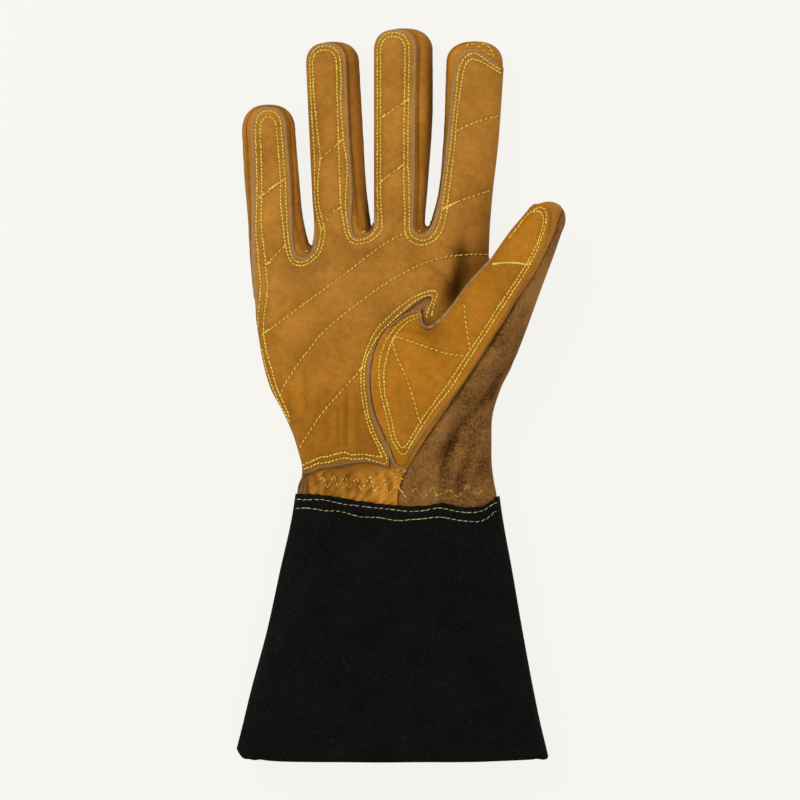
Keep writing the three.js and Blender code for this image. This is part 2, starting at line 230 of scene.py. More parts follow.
PATCH_FOOT = [
    (-47.1, -38.0), (-44.4, -37.5), (-41.7, -36.4), (-39.4, -35.4), (-36.7, -34.7), (-31.4, -34.1),
    (-26.7, -33.2), (-21.7, -32.3), (-16, -31.9), (-11, -32.6), (-6.7, -34.2), (-5.6, -34.6),
]
PATCH_BY_THUMB = [
    (-5.6, -34.6), (-5.3, -29), (-6.1, -24.5), (-7.6, -20.8), (-9.2, -16.8), (-12.0, -9.9),
    (-13.75, -2.7), (-14.45, 5), (-14.25, 11.9), (-13.3, 17.9), (-12.2, 21.9), (-10.2, 26.4),
    (-7.3, 31.1), (-2.5, 35.7), (1.0, 38.3), (3.9, 40.6), (7.2, 43.2), (10.3, 45.4), (13, 46.5),
    (14.4, 46.1), (13.5, 44.2), (12, 41.8), (10.9, 39.4), (10.5, 36.8), (11.2, 33), (14, 27), (30, 24),
    (50, 27),
]
THUMB_PATCH_RIGHT = [
    (65.2, 90.0), (66.9, 89.6), (68.4, 88.5), (69.4, 86.6), (69.8, 84.0), (69.3, 79.9), (68.4, 75.1),
    (67.1, 70.2), (64.7, 66.2), (61.9, 60.5), (58.9, 55.2), (55.0, 48.4), (51.4, 42.4), (48.2, 36.8),
    (44.2, 30.0), (39.6, 22.6), (29.0, 6.0), (20.6, -4.8), (13.2, -14.4), (6.6, -23.8), (4.4, -27.4),
    (3.4, -29.4),
]

# Stitch rows of the palm overlay, two each: the nearer to its edge first

LEFT_ROWS = [
    [(-67.7, 31), (-67.7, 35.1), (-67.4, 40), (-66.8, 45), (-66.4, 50.1), (-66.6, 55.3), (-67.2, 60),
     (-67.5, 64.7), (-68, 69.4), (-68.5, 74.2), (-68.7, 79.3), (-68.5, 84.8)],
    [(-52.2, -11.4), (-54.9, -5.4), (-57, -0.6), (-58.8, 3.7), (-60.1, 8), (-61.2, 12.2), (-62.2, 16),
     (-63.6, 21), (-64.6, 25.8), (-65.0, 30.9), (-64.9, 35.4), (-64.4, 39.7), (-63.7, 44.2),
     (-63.1, 50.7), (-63.4, 54.5), (-64, 59.2), (-64.3, 64.3), (-64.9, 69.4), (-65.6, 75.3),
     (-66.1, 80.9), (-66.2, 86.4)],
]
LOW_LEFT_ROW = [
    (-52.4, -13.4), (-54.1, -10), (-56.8, -5.2), (-58.9, -0.8), (-60.9, 4.2), (-62.6, 8.6), (-63.9, 12.8),
    (-65.0, 17.3), (-66.0, 22.1),
]
NOTCH_ROWS = [
    [[(-54.6, 96), (-54, 84.4), (-53.6, 76.5), (-53, 71), (-52, 66.3), (-50.8, 63.9), (-49.2, 62.7),
      (-47.3, 62.5), (-44.9, 63.3), (-42.9, 64.7), (-41, 66.3), (-39.5, 67.9), (-39, 70.2), (-38.3, 74.3),
      (-38, 79.5), (-39.2, 83.2), (-40.3, 88.2), (-40.9, 93.4), (-40.9, 103.7), (-41.1, 114),
      (-41.7, 124.3), (-42.4, 134.6), (-42.9, 144.9)],
     [(-57, 96), (-56.9, 89.5), (-56, 82.4), (-55.1, 73.8), (-53.6, 66.3), (-52.8, 64.3), (-51.6, 62.4),
      (-49.6, 61.1), (-47.7, 60.8), (-45.3, 61.4), (-42.6, 63), (-40.2, 64.9), (-38.2, 67), (-37.2, 70.5),
      (-36, 75.9), (-36.2, 79.5), (-37.3, 83.1), (-38.7, 88.2), (-39.4, 94), (-39.4, 99), (-38.9, 106.2),
      (-38.3, 112), (-38.8, 119), (-39.6, 125), (-40.6, 134.6), (-41.5, 144.9)]],
    [[(-28.6, 144), (-28.4, 134.6), (-27.5, 124.3), (-27.2, 119.5), (-26.1, 114), (-25.4, 105.7),
      (-25.9, 98.5), (-26.2, 92.6), (-26, 84.8), (-25.3, 80.8), (-24.8, 77.5), (-23.8, 74.5),
      (-22.6, 73.3), (-21, 72.9), (-19.3, 73.1), (-17.3, 73.8), (-15.6, 74.4), (-14.1, 75.7),
      (-12.6, 77.2), (-11.5, 78.7), (-10.9, 80.5), (-10.9, 84.2), (-11.2, 96)],
     [(-30.4, 144), (-30, 134.6), (-29.8, 124.3), (-29.4, 114), (-29, 104), (-28.6, 92.6), (-27.8, 84.8),
      (-27.1, 81.8), (-26.6, 78.5), (-26, 75.3), (-24.5, 72.8), (-23.3, 71.9), (-21.6, 71.3),
      (-19.6, 71.3), (-17.3, 71.8), (-15.6, 72.3), (-14.3, 72.9), (-12.6, 73.9), (-11.3, 75.1),
      (-10, 76.5), (-9.1, 78.2), (-9, 80.2), (-9.2, 84.2), (-9.7, 96)]],
    [[(3.7, 104), (3.8, 92.6), (3.9, 84.2), (3.9, 78.8), (4.4, 75.9), (5.4, 74.5), (7, 73.6), (9, 73.1),
      (11, 73), (12.7, 73.4), (14.2, 74.3), (15.9, 76.5), (17.5, 79.3), (18.4, 82.2), (20, 92.6),
      (21.8, 105), (23.5, 118), (25, 132.5), (26.4, 145), (27.4, 154.3), (28.4, 157), (29.9, 159.3),
      (31.4, 160.9), (33, 161.7), (34.9, 161.8), (36.6, 161.2), (38.6, 159.8), (40.8, 158.2), (42.6, 157),
      (45.1, 155.3), (47.6, 154)],
     [(1.2, 104), (1.6, 92.6), (2, 84.5), (1.7, 80.5), (1.5, 78.8), (1.7, 77.2), (2.9, 74.3), (4, 72.8),
      (5.4, 71.8), (7, 71.1), (9, 70.7), (11, 70.9), (13, 71.5), (14.7, 72.3), (16.4, 73.4), (18.5, 76.2),
      (19.9, 79.2), (20.9, 82.5), (22.2, 92.6), (23.8, 105), (25.3, 118), (26.6, 132.5), (28.2, 145),
      (29.6, 153), (30.3, 155.7), (31.3, 157.8), (32.6, 158.8), (34.2, 159.1), (36.3, 158.6),
      (38.2, 157.8), (39.9, 156.8), (41.7, 155.7), (43.6, 154.5), (46.2, 153.2), (47.9, 152.3)]],
]
BY_THUMB_ROWS = [
    [(-6.8, -32.4), (-7, -28.7), (-8.4, -26.3), (-9.8, -23.4), (-11.3, -20.8), (-12.7, -17.6),
     (-13.8, -14.3), (-15.2, -11), (-16.1, -5.2), (-16.8, -0.5), (-17.3, 4), (-17.4, 8.8), (-17.1, 13.5),
     (-16.3, 17.2), (-15.3, 19.5), (-14.4, 21.4), (-13.3, 23.6), (-12.2, 25.5), (-11, 27.2), (-9.7, 29),
     (-8.2, 30.8), (-6.7, 32.2), (-5.2, 33.8), (-3.6, 35.3), (-2, 36.9), (-0.5, 38.3), (0.9, 39.5),
     (2.1, 40.6), (3.5, 41.8), (4.8, 42.8), (6.2, 43.9), (7.7, 44.8), (9.1, 45.6), (10.8, 46.4),
     (12.5, 46.9), (14.2, 47.1), (15.2, 46.4), (15, 44.9), (14.2, 42.9), (13.4, 41.3), (12.8, 39.8),
     (12.3, 38.2), (12.0, 36.2)],
    [(-8.6, -29.6), (-9.8, -27), (-11.6, -23), (-12.7, -20.8), (-14.6, -16.5), (-16, -12.1),
     (-16.6, -9.6), (-17.8, -4.7), (-18.4, -0.5), (-18.8, 3.7), (-18.9, 8.4), (-18.6, 12.5),
     (-17.7, 16.6), (-16.5, 20.3), (-15.1, 23.6), (-13.8, 26.8), (-12.2, 29.6), (-10.3, 32.3),
     (-8.3, 34.3), (-5.9, 36.5), (-3.4, 39), (-0.6, 41.4), (2.3, 43.6), (5, 45.5), (8.6, 47.3),
     (12, 48.6), (15.2, 49.2), (17, 48.5), (17.1, 47.3), (16.5, 45.2), (15.8, 43.4), (15.3, 41.6),
     (14.8, 39.5), (14.3, 36.8)],
]
FOOT_ROWS = [
    [(-46.6, -35.2), (-44.7, -34.6), (-42.7, -34.1), (-40.7, -32.9), (-38.7, -32.2), (-36, -32.1),
     (-34, -31.6), (-32, -31.1), (-30, -30.4), (-28, -29.9), (-26, -29.6), (-24, -30.1), (-22, -30.4),
     (-19.4, -30.2), (-17.4, -29.9), (-15, -30.4), (-12.7, -31.1), (-10.7, -31.7), (-8.7, -32.2),
     (-7, -32.7)],
    [(-46.9, -33.4), (-44.7, -32.6), (-42.7, -31.7), (-40.7, -30.6), (-38.7, -29.6), (-36, -29.2),
     (-34, -28.9), (-32, -28.2), (-30, -27.7), (-27.7, -27.2), (-26.4, -26.9), (-25, -27.6),
     (-23.7, -28.3), (-21.4, -28.2), (-19.4, -28.1), (-17, -27.9), (-15, -28.4), (-12.7, -28.7),
     (-10.7, -28.9), (-8.7, -29.4)],
]
THUMB_ROW_POINTS = [
    [(50.6, 73.2), (52.6, 75.8), (55.2, 79.4), (57.8, 82.6), (60.3, 85.2), (62.6, 87.0), (64.2, 87.9),
     (66.1, 87.9), (67.5, 86.7), (68.1, 84.8), (68.1, 81.9), (67.4, 78.5), (66.7, 76), (65.7, 73.1),
     (64.5, 69.7), (62.6, 65.5), (60.8, 62), (59.1, 58.9), (57.3, 56), (55.4, 53), (52.5, 48.7),
     (49.5, 44), (46.1, 39), (42.2, 32.8), (39.7, 29), (33.8, 19.8), (29.5, 13.1), (23.6, 3.4),
     (17.7, -4), (12.6, -10.9), (8.3, -17.4), (4.1, -24.2), (1.2, -28.3), (-0.2, -27.5), (-1.8, -25.2),
     (-3.3, -23), (-4.4, -20.6), (-5.3, -17.2), (-6.2, -12.8), (-7.1, -9.2), (-7.8, -6), (-8.7, -2.3),
     (-9.5, 1.4), (-10, 5), (-10.4, 9), (-10.4, 12.6), (-9.8, 17.5), (-8.6, 21.5), (-7, 25.3), (-4.8, 29),
     (-2.1, 32.2), (1.1, 35), (4.4, 36.8), (7.4, 37.6), (8.6, 37.8)],
    [(61.6, 85.7), (63.3, 86.3), (65.2, 86), (66.4, 84.5), (66.7, 81.9), (66.1, 78.5), (65.4, 75.6),
     (64.2, 71.7), (62.0, 67.3), (60, 63.5), (57.9, 60.1), (56, 56.9), (53.9, 53.5), (51, 49.3),
     (48, 44.8), (44.7, 40), (41.2, 34.2), (37.4, 28.6), (32.1, 20.5), (27.2, 13.1), (21.3, 4.2),
     (15.4, -3.8), (9.6, -11.9), (5.3, -19), (1.9, -24.2), (0.7, -25.2), (-1.1, -23), (-2.6, -20.1),
     (-3.5, -16.5), (-4.4, -11.8), (-5.5, -7.8), (-6.4, -3.8), (-7.5, -0.1), (-7.8, 4.2), (-8.1, 8.6),
     (-7.7, 12.8), (-7, 16.7), (-5.9, 20.8), (-4.3, 24.7), (-2.5, 28.3), (-0.1, 31.3), (3.1, 34.2),
     (6.5, 35.9), (8.6, 36.4)],
]
TIP_THREADS = [
    [(30.4, 165.4), (31.8, 166.5), (32.9, 166.8), (35.3, 166.1), (36.9, 165.1), (38.3, 164),
     (39.4, 162.7), (41, 161.7), (42.7, 160.8)],
    [(38, 166.7), (39.7, 166.5), (41.3, 165.4), (42.9, 163.5), (43.8, 161.2), (44.3, 159.6)],
]
PALM_TACKS = [  # where a line across starts or ends with stitches sewn over one another
    [(-67.3, 93), (-64.6, 95.2)],
    [(-62.6, 97), (-55.6, 101.9)],
    [(-64.1, 61.4), (-61.5, 62.9)],
    [(-55.3, 70.2), (-54.4, 71)],
    [(-38.5, 111.4), (-37.3, 112.6)],
    [(-30.6, 118), (-27.5, 120.9)],
    [(-9.3, 131.2), (-7.2, 132.7)],
    [(-0.2, 137.2), (4.2, 140.1)],
    [(-1.7, 106.9), (1.3, 109)],
    [(-30, 88), (-28.2, 88.6)],
    [(-38, 76.8), (-37.2, 78.4), (-36.3, 80.4)],
    [(-10.6, 100.3), (-8.4, 101.6)],
    [(19.6, 88), (26.7, 91.3)],
    [(-66, 28.3), (-61.8, 31.1)],
    [(-20, 11.4), (-17.4, 13)],
]
THUMB_TACKS = [
    [(42.8, 61.2), (48.2, 61.8), (53, 61.7), (59.8, 60.8)],
    [(60.1, 62.6), (60.6, 60.4)],
    [(-2.7, 28.1), (-4.3, 24.6)],
    [(9, -11.6), (9.5, -13.6)],
]
TURNED_CORNER = [  # where the overlay's raw underside shows
    (14.2, 46.0), (11.5, 45.6), (7.2, 43.2), (3.8, 41.0), (1.1, 38.6), (0.6, 37.6), (3.1, 38.4),
    (6.2, 39.4), (8.9, 39.9), (10.6, 40.4), (13.4, 44.3),
]
WELT = [  # the raw edge that stands up in the seam: x, y and radius
    (44.8, 66.6, 0.3), (42.4, 63.5, 0.8), (38.6, 59.2, 0.95), (34.7, 55.1, 0.95), (30.9, 50.4, 0.95),
    (28.3, 47, 1.0), (25, 42.3, 1.0), (21.3, 37.9, 1.0), (18.5, 35, 1.0), (15.7, 32.6, 1.0),
    (13.6, 31.4, 1.0), (11.5, 31.6, 0.95), (9.9, 33, 0.9), (9.3, 34.9, 0.8), (9.4, 36.9, 0.7),
    (9.1, 38.8, 0.6), (7.8, 39.6, 0.5), (6, 39.4, 0.45), (3.1, 38.3, 0.45), (0.9, 37.2, 0.45),
    (-1.3, 35.7, 0.42), (-3.7, 33.5, 0.4), (-5.9, 31.3, 0.36), (-8.2, 28.6, 0.28), (-9.6, 26.4, 0.12),
]
LOW_WELT = [
    (-7.2, -20.4, 0.12), (-5.6, -25.8, 0.5), (-4.7, -29.6, 0.65), (-3.0, -32.8, 0.65), (-0.9, -34.7, 0.6),
    (2.5, -35.6, 0.4),
]

# Lines of stitching across the overlays, and the cuff's upper edge

PALM_QUILT = [
    [(-66, 28.3), (-61.8, 31.1), (-45.1, 43.4), (-26.9, 56.8), (-9.5, 70.3), (1.1, 76.5)],
    [(-57.2, -1.4), (-55.6, 3.5), (-51.7, 9.7), (-48.1, 15.2), (-44.4, 20.1), (-40.3, 25.5),
     (-37.6, 28.6), (-20.9, 42.6), (-1.4, 56.1), (12.6, 62.9), (20.3, 65.1), (29.3, 66.2), (34.5, 66.5),
     (41.6, 66.6)],
    [(-48.2, -25.3), (-44.4, -19.3), (-38.6, -10.5), (-31.3, -1.9), (-24.7, 5.6), (-18.2, 12.4)],
    [(-67.5, 92.7), (-55.6, 101.9)], [(-64.1, 61.4), (-54.5, 71)],
    [(-38.5, 111.3), (-28.0, 120.3)], [(-38, 76.8), (-36.9, 79), (-35.9, 81.5), (-34.1, 84.4),
                                       (-32, 86.7), (-30, 88), (-28.1, 88.5)],
    [(-9.3, 131.2), (4.2, 140.1)], [(-10.6, 100.4), (1.3, 109.0)],
    [(25.6, 124.5), (33.4, 128.4), (46.4, 132.5)], [(19.6, 88), (26.7, 91.3), (34.2, 94.0), (42.6, 97.1)],
]
THUMB_QUILT = [
    [(-2.8, 27.5), (11.0, 22.8), (21.9, 19.2), (32.1, 18.1)],
    [(29.5, 42.8), (30.6, 31.9), (32.4, 20.3)],
    [(-3.8, 24.6), (-3.2, 21.4), (2.3, 8.6), (8.8, -12.4)],
]
CUFF_TOP = [
    (-50.2, -46.7), (-37.3, -47.2), (-17.9, -50.1), (1.4, -52.2), (11.2, -52.2), (18.9, -51.0),
    (30.5, -53.0), (40.2, -52.0), (46.4, -48.1),
]

# Folds and creases: a line, how far it stands up or down, and its width
PALM_FOLDS = [
    ([(-25.6, 1), (-25.7, -8), (-26.2, -16), (-25.8, -23)], -0.7, 0.9),
    ([(-29.4, -7), (-29.6, -15), (-29.3, -24)], -0.55, 0.9),
    ([(-23.4, -2), (-23.4, -12), (-23.6, -22)], 0.35, 1.7),
    ([(-34.4, 2), (-34.2, -10), (-35, -22)], -0.3, 1.0),
    ([(-45.4, 13), (-44.8, 2), (-44.4, -9)], -0.45, 0.9),
    ([(-57.4, 14), (-57, 8), (-56, 2)], -0.4, 0.9),
    ([(-52.8, 3), (-53, -3), (-51.5, -9)], -0.6, 1.1),
    ([(-48.6, 8), (-48.4, 0), (-47.6, -10)], 0.45, 1.6),
    ([(-19.5, -8), (-20, -18), (-19.4, -26)], -0.35, 1.4),
    ([(18, 72), (25, 68), (32, 66)], -0.5, 1.6),
    ([(14, 61), (19, 57.5), (23, 52)], -0.6, 1.5),
    ([(13, 55), (18, 53), (22, 48)], -0.4, 1.3),
    ([(-33, 76), (-27, 69.5), (-19, 66.5), (-10, 68)], -0.45, 1.9),
    ([(-1, 82), (-2.5, 78), (-6, 73)], -0.5, 1.8),
    ([(-58, 24), (-50, 33), (-42, 39)], 0.25, 3.2),
]
THUMB_FOLDS = [
    ([(12, 30), (17, 22), (19, 12)], -0.3, 2.4),
    ([(20, 35), (27, 25), (31, 18)], 0.35, 3.0),
    ([(2, 20), (5, 4), (6, -14)], 0.3, 2.6),
    ([(-1, 4), (0, -8), (1, -18)], -0.3, 1.2),
    ([(3, -2), (3.4, -12), (3, -19)], -0.3, 1.0),
    ([(7, 4), (7, -4), (5.4, -14)], -0.25, 1.1),
]
SUEDE_FOLDS = [
    ([(57, 29), (51, 16), (46, 8), (40, 0), (33, -8), (27.5, -14.5), (24, -22), (21, -32), (20, -44)],
     -2.7, 3.0),
    ([(50, 31), (41, 16), (33.5, 6), (26, -5), (19.5, -16), (14, -28), (10.5, -40)], 0.9, 3.2),
    ([(52, 12.4), (46.9, 1.5), (40.3, -14.9), (34.9, -28.5), (31, -44)], 1.3, 2.8),
    ([(41, -10), (36.4, -22), (31, -33), (27.6, -44)], -1.4, 2.0),
    ([(43.5, -20), (40.5, -32), (38, -44)], -0.8, 1.8),
    ([(28, -28), (25.4, -38)], 0.8, 1.8),
    ([(66, 52), (58, 38), (50, 27)], -0.5, 2.4),
    ([(7, -36), (9, -44), (8, -50)], -0.7, 1.8),
    ([(14, -38), (15, -46), (14, -52)], -0.6, 1.5),
    ([(33, -36), (34.6, -44)], -0.6, 1.5),
]


# Working out forms with arrays

def smooth(x, xs, ys):
    """A cubic through the points (xs, ys), whose slope at each is the mean of the slopes beside it."""
    slope = np.gradient(ys, xs)
    x = np.clip(x, xs[0], xs[-1])
    i = np.clip(np.searchsorted(xs, x) - 1, 0, len(xs) - 2)
    step = xs[i + 1] - xs[i]
    t = (x - xs[i]) / step
    near = (1 + 2 * t) * (1 - t) ** 2 * ys[i] + t * (1 - t) ** 2 * step * slope[i]
    return near + t * t * (3 - 2 * t) * ys[i + 1] + t * t * (t - 1) * step * slope[i + 1]


def lengths(line):
    """How far along a line each of its points is."""
    return np.concatenate([[0], np.cumsum(np.linalg.norm(np.diff(line, axis=0), axis=1))])


def resample(line, step):
    """The same line in even steps."""
    s = lengths(line)
    marks = np.linspace(0, s[-1], max(2, round(s[-1] / step) + 1))
    return np.stack([np.interp(marks, s, line[:, k]) for k in range(line.shape[1])], 1)


def curve(points, step=0.8):
    """A smooth line through plan points, in even steps."""
    p = np.asarray(points, float)
    s = lengths(p)
    fine = np.linspace(0, s[-1], max(8, int(s[-1] / step * 3)))
    return resample(np.stack([smooth(fine, s, p[:, 0]), smooth(fine, s, p[:, 1])], 1), step)


def curves(lines, step=0.8):
    """A smooth line through each of several lists of plan points."""
    return [curve(points, step) for points in lines]


def chain(*lines):
    """One outline from several lines, with doubled points left out."""
    line = np.concatenate([np.asarray(part, float) for part in lines])
    keep = np.linalg.norm(line - np.roll(line, 1, axis=0), axis=1) > 0.05
    return line[keep]


def distance(points, lines, reach=4.0):
    """Each plan point's distance to the nearest of the lines, up to reach."""
    found = np.full(len(points), float(reach))
    for line in lines:
        for first in range(0, len(line) - 1, 16):
            part = line[first:first + 17]
            near = np.all((points > part.min(0) - reach) & (points < part.max(0) + reach), axis=1)
            along = np.diff(part, axis=0)
            size = np.maximum((along ** 2).sum(1), 1e-9)
            away = points[near][:, None] - part[:-1]
            t = np.clip((away * along).sum(2) / size, 0, 1)
            gap = np.sqrt(((away - t[..., None] * along) ** 2).sum(2)).min(1, initial=reach)
            found[near] = np.minimum(found[near], gap)
    return found


def inside(points, outline):
    """Which plan points lie in an outline: those with an odd count of its sides to their right."""
    a, b = outline, np.roll(outline, -1, axis=0)
    found = []
    for part in np.array_split(points, len(points) * len(a) // 3_000_000 + 1):
        x, y = part[:, :1], part[:, 1:]
        spans = (a[:, 1] > y) != (b[:, 1] > y)
        rise = np.where(a[:, 1] == b[:, 1], 1, b[:, 1] - a[:, 1])
        crossing = a[:, 0] + (y - a[:, 1]) * (b[:, 0] - a[:, 0]) / rise
        found.append((spans & (x < crossing)).sum(1) % 2 == 1)
    return np.concatenate(found)


def outward(outline):
    """The unit vector that points out of a closed outline at each of its points."""
    way = np.roll(outline, -1, axis=0) - np.roll(outline, 1, axis=0)
    way /= np.maximum(np.linalg.norm(way, axis=1, keepdims=True), 1e-9)
    x, y = outline.T
    turn = np.sign((x * np.roll(y, -1) - y * np.roll(x, -1)).sum())
    return turn * np.stack([way[:, 1], -way[:, 0]], 1)


def ripples(x, y, size, seed, count=8):
    """A mean of sine waves about size long, in seeded directions, between about -1 and 1."""
    rng = np.random.default_rng(seed)
    angle = rng.uniform(0, np.pi, count)
    turns = 2 * np.pi / (size * rng.uniform(0.6, 1.7, count))
    phase = rng.uniform(0, 2 * np.pi, count)
    waves = np.sin((x[..., None] * np.cos(angle) + y[..., None] * np.sin(angle)) * turns + phase)
    return waves.mean(-1) * 2


def spot(x, y, centre, reach):
    """A soft spot: exp(-((x - centre x) / reach x)^2 - ((y - centre y) / reach y)^2)."""
    return np.exp(-((x - centre[0]) / reach[0]) ** 2 - ((y - centre[1]) / reach[1]) ** 2)


def tube(form, across, along, side, grow=0.0, power=FINGER_ROUND):
    """Height of a squashed tube's upper (side 1) or lower (side -1) skin over the plan.

    Its waist, plus or minus its reach times (1 - |u|^p - v^p)^(1/p), where u runs from -1 to 1 across
    the section and v from 0 to 1 over the tip and over the root; past that the skin falls away.
    """
    rows = form["rows"]
    first, last = rows["y"][0], rows["y"][-1]
    left, right, low, high = (smooth(along, rows["y"], rows[k]) for k in ("left", "right", "low", "high"))
    u = np.abs(across - (left + right) / 2) / ((right - left) / 2 + grow)
    past = np.maximum(along - last, 0) / (form["tip"] + grow - last)
    v = past + np.maximum(first - along, 0) / ROOT_RUN
    rest = 1 - u ** power - v ** power
    dome = np.where(rest > 0, np.abs(rest) ** (1 / power), np.maximum(3 * rest, -4))
    waist = (low + high) / 2
    return waist + side * ((high - low) / 2 + grow) * dome


def soft_max(a, b):
    """The higher of two heights, rounded where they cross."""
    return (a + b + np.sqrt((a - b) ** 2 + BLEND ** 2)) / 2


def ramp(x, start, end):
    """0 before start, 1 after end and a smooth step between them."""
    t = np.clip((x - start) / (end - start), 0, 1)
    return t * t * (3 - 2 * t)


def palm_y(x, y):
    """y for the palm's sections, moved on beside the little finger, where the palm ends sooner."""
    return y + 8 * ramp(-x, 28, 40) * ramp(y, 42, 60)


def hand_top(x, y, grow=0.0):
    """Upper skin of the palm and fingers, with the dent of the web beside the thumb."""
    z = tube(PALM, x, palm_y(x, y), 1, grow, PALM_ROUND)
    for finger in FINGERS.values():
        z = soft_max(z, tube(finger, x, y, 1, grow))
    t, n = thumb_axes(x, y)
    z = z - WEB_DENT[2] * spot(n, t, *WEB_DENT[:2])
    return z - WEB_CREASE[2] * spot(x - WEB_CREASE_LEAN * (y - 60), y, *WEB_CREASE[:2])


def hand_under(x, y):
    """Lower skin of the palm and fingers, flat on the floor in the middle."""
    z = tube(PALM, x, y, -1, 0, UNDER_ROUND)
    for finger in FINGERS.values():
        z = -soft_max(-z, -tube(finger, x, y, -1, 0, UNDER_ROUND))
    return np.maximum(z, 0)


def thumb_axes(x, y):
    """A plan point's place along and across the thumb."""
    dx, dy = x - THUMB_ROOT[0], y - THUMB_ROOT[1]
    c, s = math.cos(THUMB_LEAN), math.sin(THUMB_LEAN)
    return dx * s + dy * c, dx * c - dy * s


def thumb_plan(t, n):
    """The plan point at a place along and across the thumb."""
    c, s = math.cos(THUMB_LEAN), math.sin(THUMB_LEAN)
    return np.stack([THUMB_ROOT[0] + t * s + n * c, THUMB_ROOT[1] + t * c - n * s], -1)


def thumb_top(x, y, grow=0.0):
    """Upper skin of the thumb, which runs into the palm at its root."""
    t, n = thumb_axes(x, y)
    return soft_max(hand_top(x, y, grow), tube(THUMB, n, t, 1, grow, THUMB_ROUND))


def thumb_under(x, y):
    """Lower skin of the thumb's free length."""
    t, n = thumb_axes(x, y)
    return tube(THUMB, n, t, -1, 0, THUMB_ROUND)


def folds(points, lines):
    """The height that folds add: for each line, its rise times exp(-(distance / width)^2)."""
    total = np.zeros(len(points))
    for line, rise, width in lines:
        total += rise * np.exp(-(distance(points, [curve(line, 3)]) / width) ** 2)
    return total


# Outlines

def finger_edge(form, side, column, tip, start, grow=0.0, power=TIP_ROUND):
    """One side of a finger in plan, from start up to the middle of its tip.

    The straight stretch follows a column of the finger's table, and the tip is a quarter superellipse.
    """
    rows = form["rows"]
    last = rows["y"][-1]
    y = np.linspace(start, last, SIDE_STEPS)
    straight = np.stack([smooth(y, rows["y"], rows[column]) + side * grow, y], 1)
    other = column.replace("left", "right") if side < 0 else column.replace("right", "left")
    middle = form.get("peak", (rows[column][-1] + rows[other][-1]) / 2)
    angle = np.linspace(0, np.pi / 2, TIP_STEPS)[1:]
    arc = np.stack([
        middle + (straight[-1, 0] - middle) * np.cos(angle) ** (2 / power),
        last + (form[tip] + grow - last) * np.sin(angle) ** (2 / power),
    ], 1)
    return np.concatenate([straight, arc])


def palm_edge(column, low, high, inset=0.0):
    """A side of the palm in plan, from low to high."""
    y = np.linspace(low, high, max(3, int(abs(high - low))))
    side = -1 if column == "left" else 1
    return np.stack([smooth(y, PALM["rows"]["y"], PALM["rows"][column]) - side * inset, y], 1)


def thumb_edge(column, low):
    """A side of the thumb in plan, from low up to the middle of its tip."""
    side, power = THUMB_SIDES[column]
    n, t = finger_edge(THUMB, side, column, "tip", low, 0, power).T
    return thumb_plan(t, n)


def notch_line(points):
    """A notch between two fingers, in a fixed count of steps."""
    line = curve(points, 0.2)
    marks = np.linspace(0, len(line) - 1, NOTCH_STEPS)
    return np.stack([np.interp(marks, np.arange(len(line)), line[:, k]) for k in (0, 1)], 1)


def gap_line(k, left, right, tip, notches):
    """From one finger's tip down its side, round the notch, and up the next finger's side to its tip."""
    before, after = list(FINGERS.values())[k:k + 2]
    notch = notches[k]
    return np.concatenate([
        finger_edge(before, 1, right, tip, notch[0][1])[::-1],
        notch_line(notch)[1:-1],
        finger_edge(after, -1, left, tip, notch[-1][1]),
    ])


BORDER_ROWS = (0.22, 0.6)  # how far inside a panel's outline its first rows of points lie
CLEAR = 0.93  # the share of its inset that a point moved in from an outline has to lie away from it
LATTICE_RISE = 0.866  # between the rows of a lattice of even triangles, for a step of 1


def fill(outline, spacing):
    """A plan outline filled with triangles: its own points, two rows inside it and a staggered lattice.

    Gives plan points and triangles that face up.
    """
    border = [np.vstack([outline, outline[:1]])]
    rows = []
    for inset in BORDER_ROWS:
        row = outline - outward(outline) * inset
        rows.append(row[distance(row, border) > inset * CLEAR])
    low, high = outline.min(0), outline.max(0)
    rise = spacing * LATTICE_RISE
    x, y = np.meshgrid(np.arange(low[0], high[0], spacing), np.arange(low[1], high[1], rise))
    x = x + (np.arange(len(x)) % 2)[:, None] * spacing / 2
    grid = np.stack([x.ravel(), y.ravel()], 1)
    grid = grid[inside(grid, outline)]
    rows.append(grid[distance(grid, border) > BORDER_ROWS[-1] + spacing * 0.5])
    points = np.vstack([outline, *rows])
    made = delaunay_2d_cdt([Vector(p) for p in points.tolist()], [], [list(range(len(outline)))], 1, 1e-4)
    plan = np.array([tuple(v) for v in made[0]])
    faces = np.array(made[2])
    a, b, c = (plan[faces[:, k]] for k in range(3))
    area = (b[:, 0] - a[:, 0]) * (c[:, 1] - a[:, 1]) - (b[:, 1] - a[:, 1]) * (c[:, 0] - a[:, 0])
    faces = np.where(area[:, None] < 0, faces[:, ::-1], faces)
    return plan, faces[np.abs(area) > 1e-6]


def lift(plan, z):
    """Plan points with their heights."""
    return np.column_stack([plan, z])


def panel(outline, height, spacing, facing=1):
    """A filled plan outline at the height that a function gives, facing up (1) or down (-1)."""
    plan, faces = fill(outline, spacing)
    return lift(plan, height(plan)), faces[:, ::facing]


def grid_faces(rows, columns, closed=False):
    """Quads over a grid of points; closed joins the last column to the first."""
    i, j = np.meshgrid(np.arange(rows - 1), np.arange(columns if closed else columns - 1), indexing="ij")
    a = (i * columns + j).ravel()
    b = (i * columns + (j + 1) % columns).ravel()
    return np.stack([a, b, b + columns, a + columns], 1)


def listed(faces):
    """Faces as lists of corners, from such lists or an array."""
    return faces if isinstance(faces, list) else faces.tolist()


def merged(*parts):
    """Several meshes, each of points and faces, as one."""
    corners = []
    start = 0
    for points, faces in parts:
        corners += [[start + corner for corner in face] for face in listed(faces)]
        start += len(points)
    return np.vstack([points for points, _ in parts]), corners


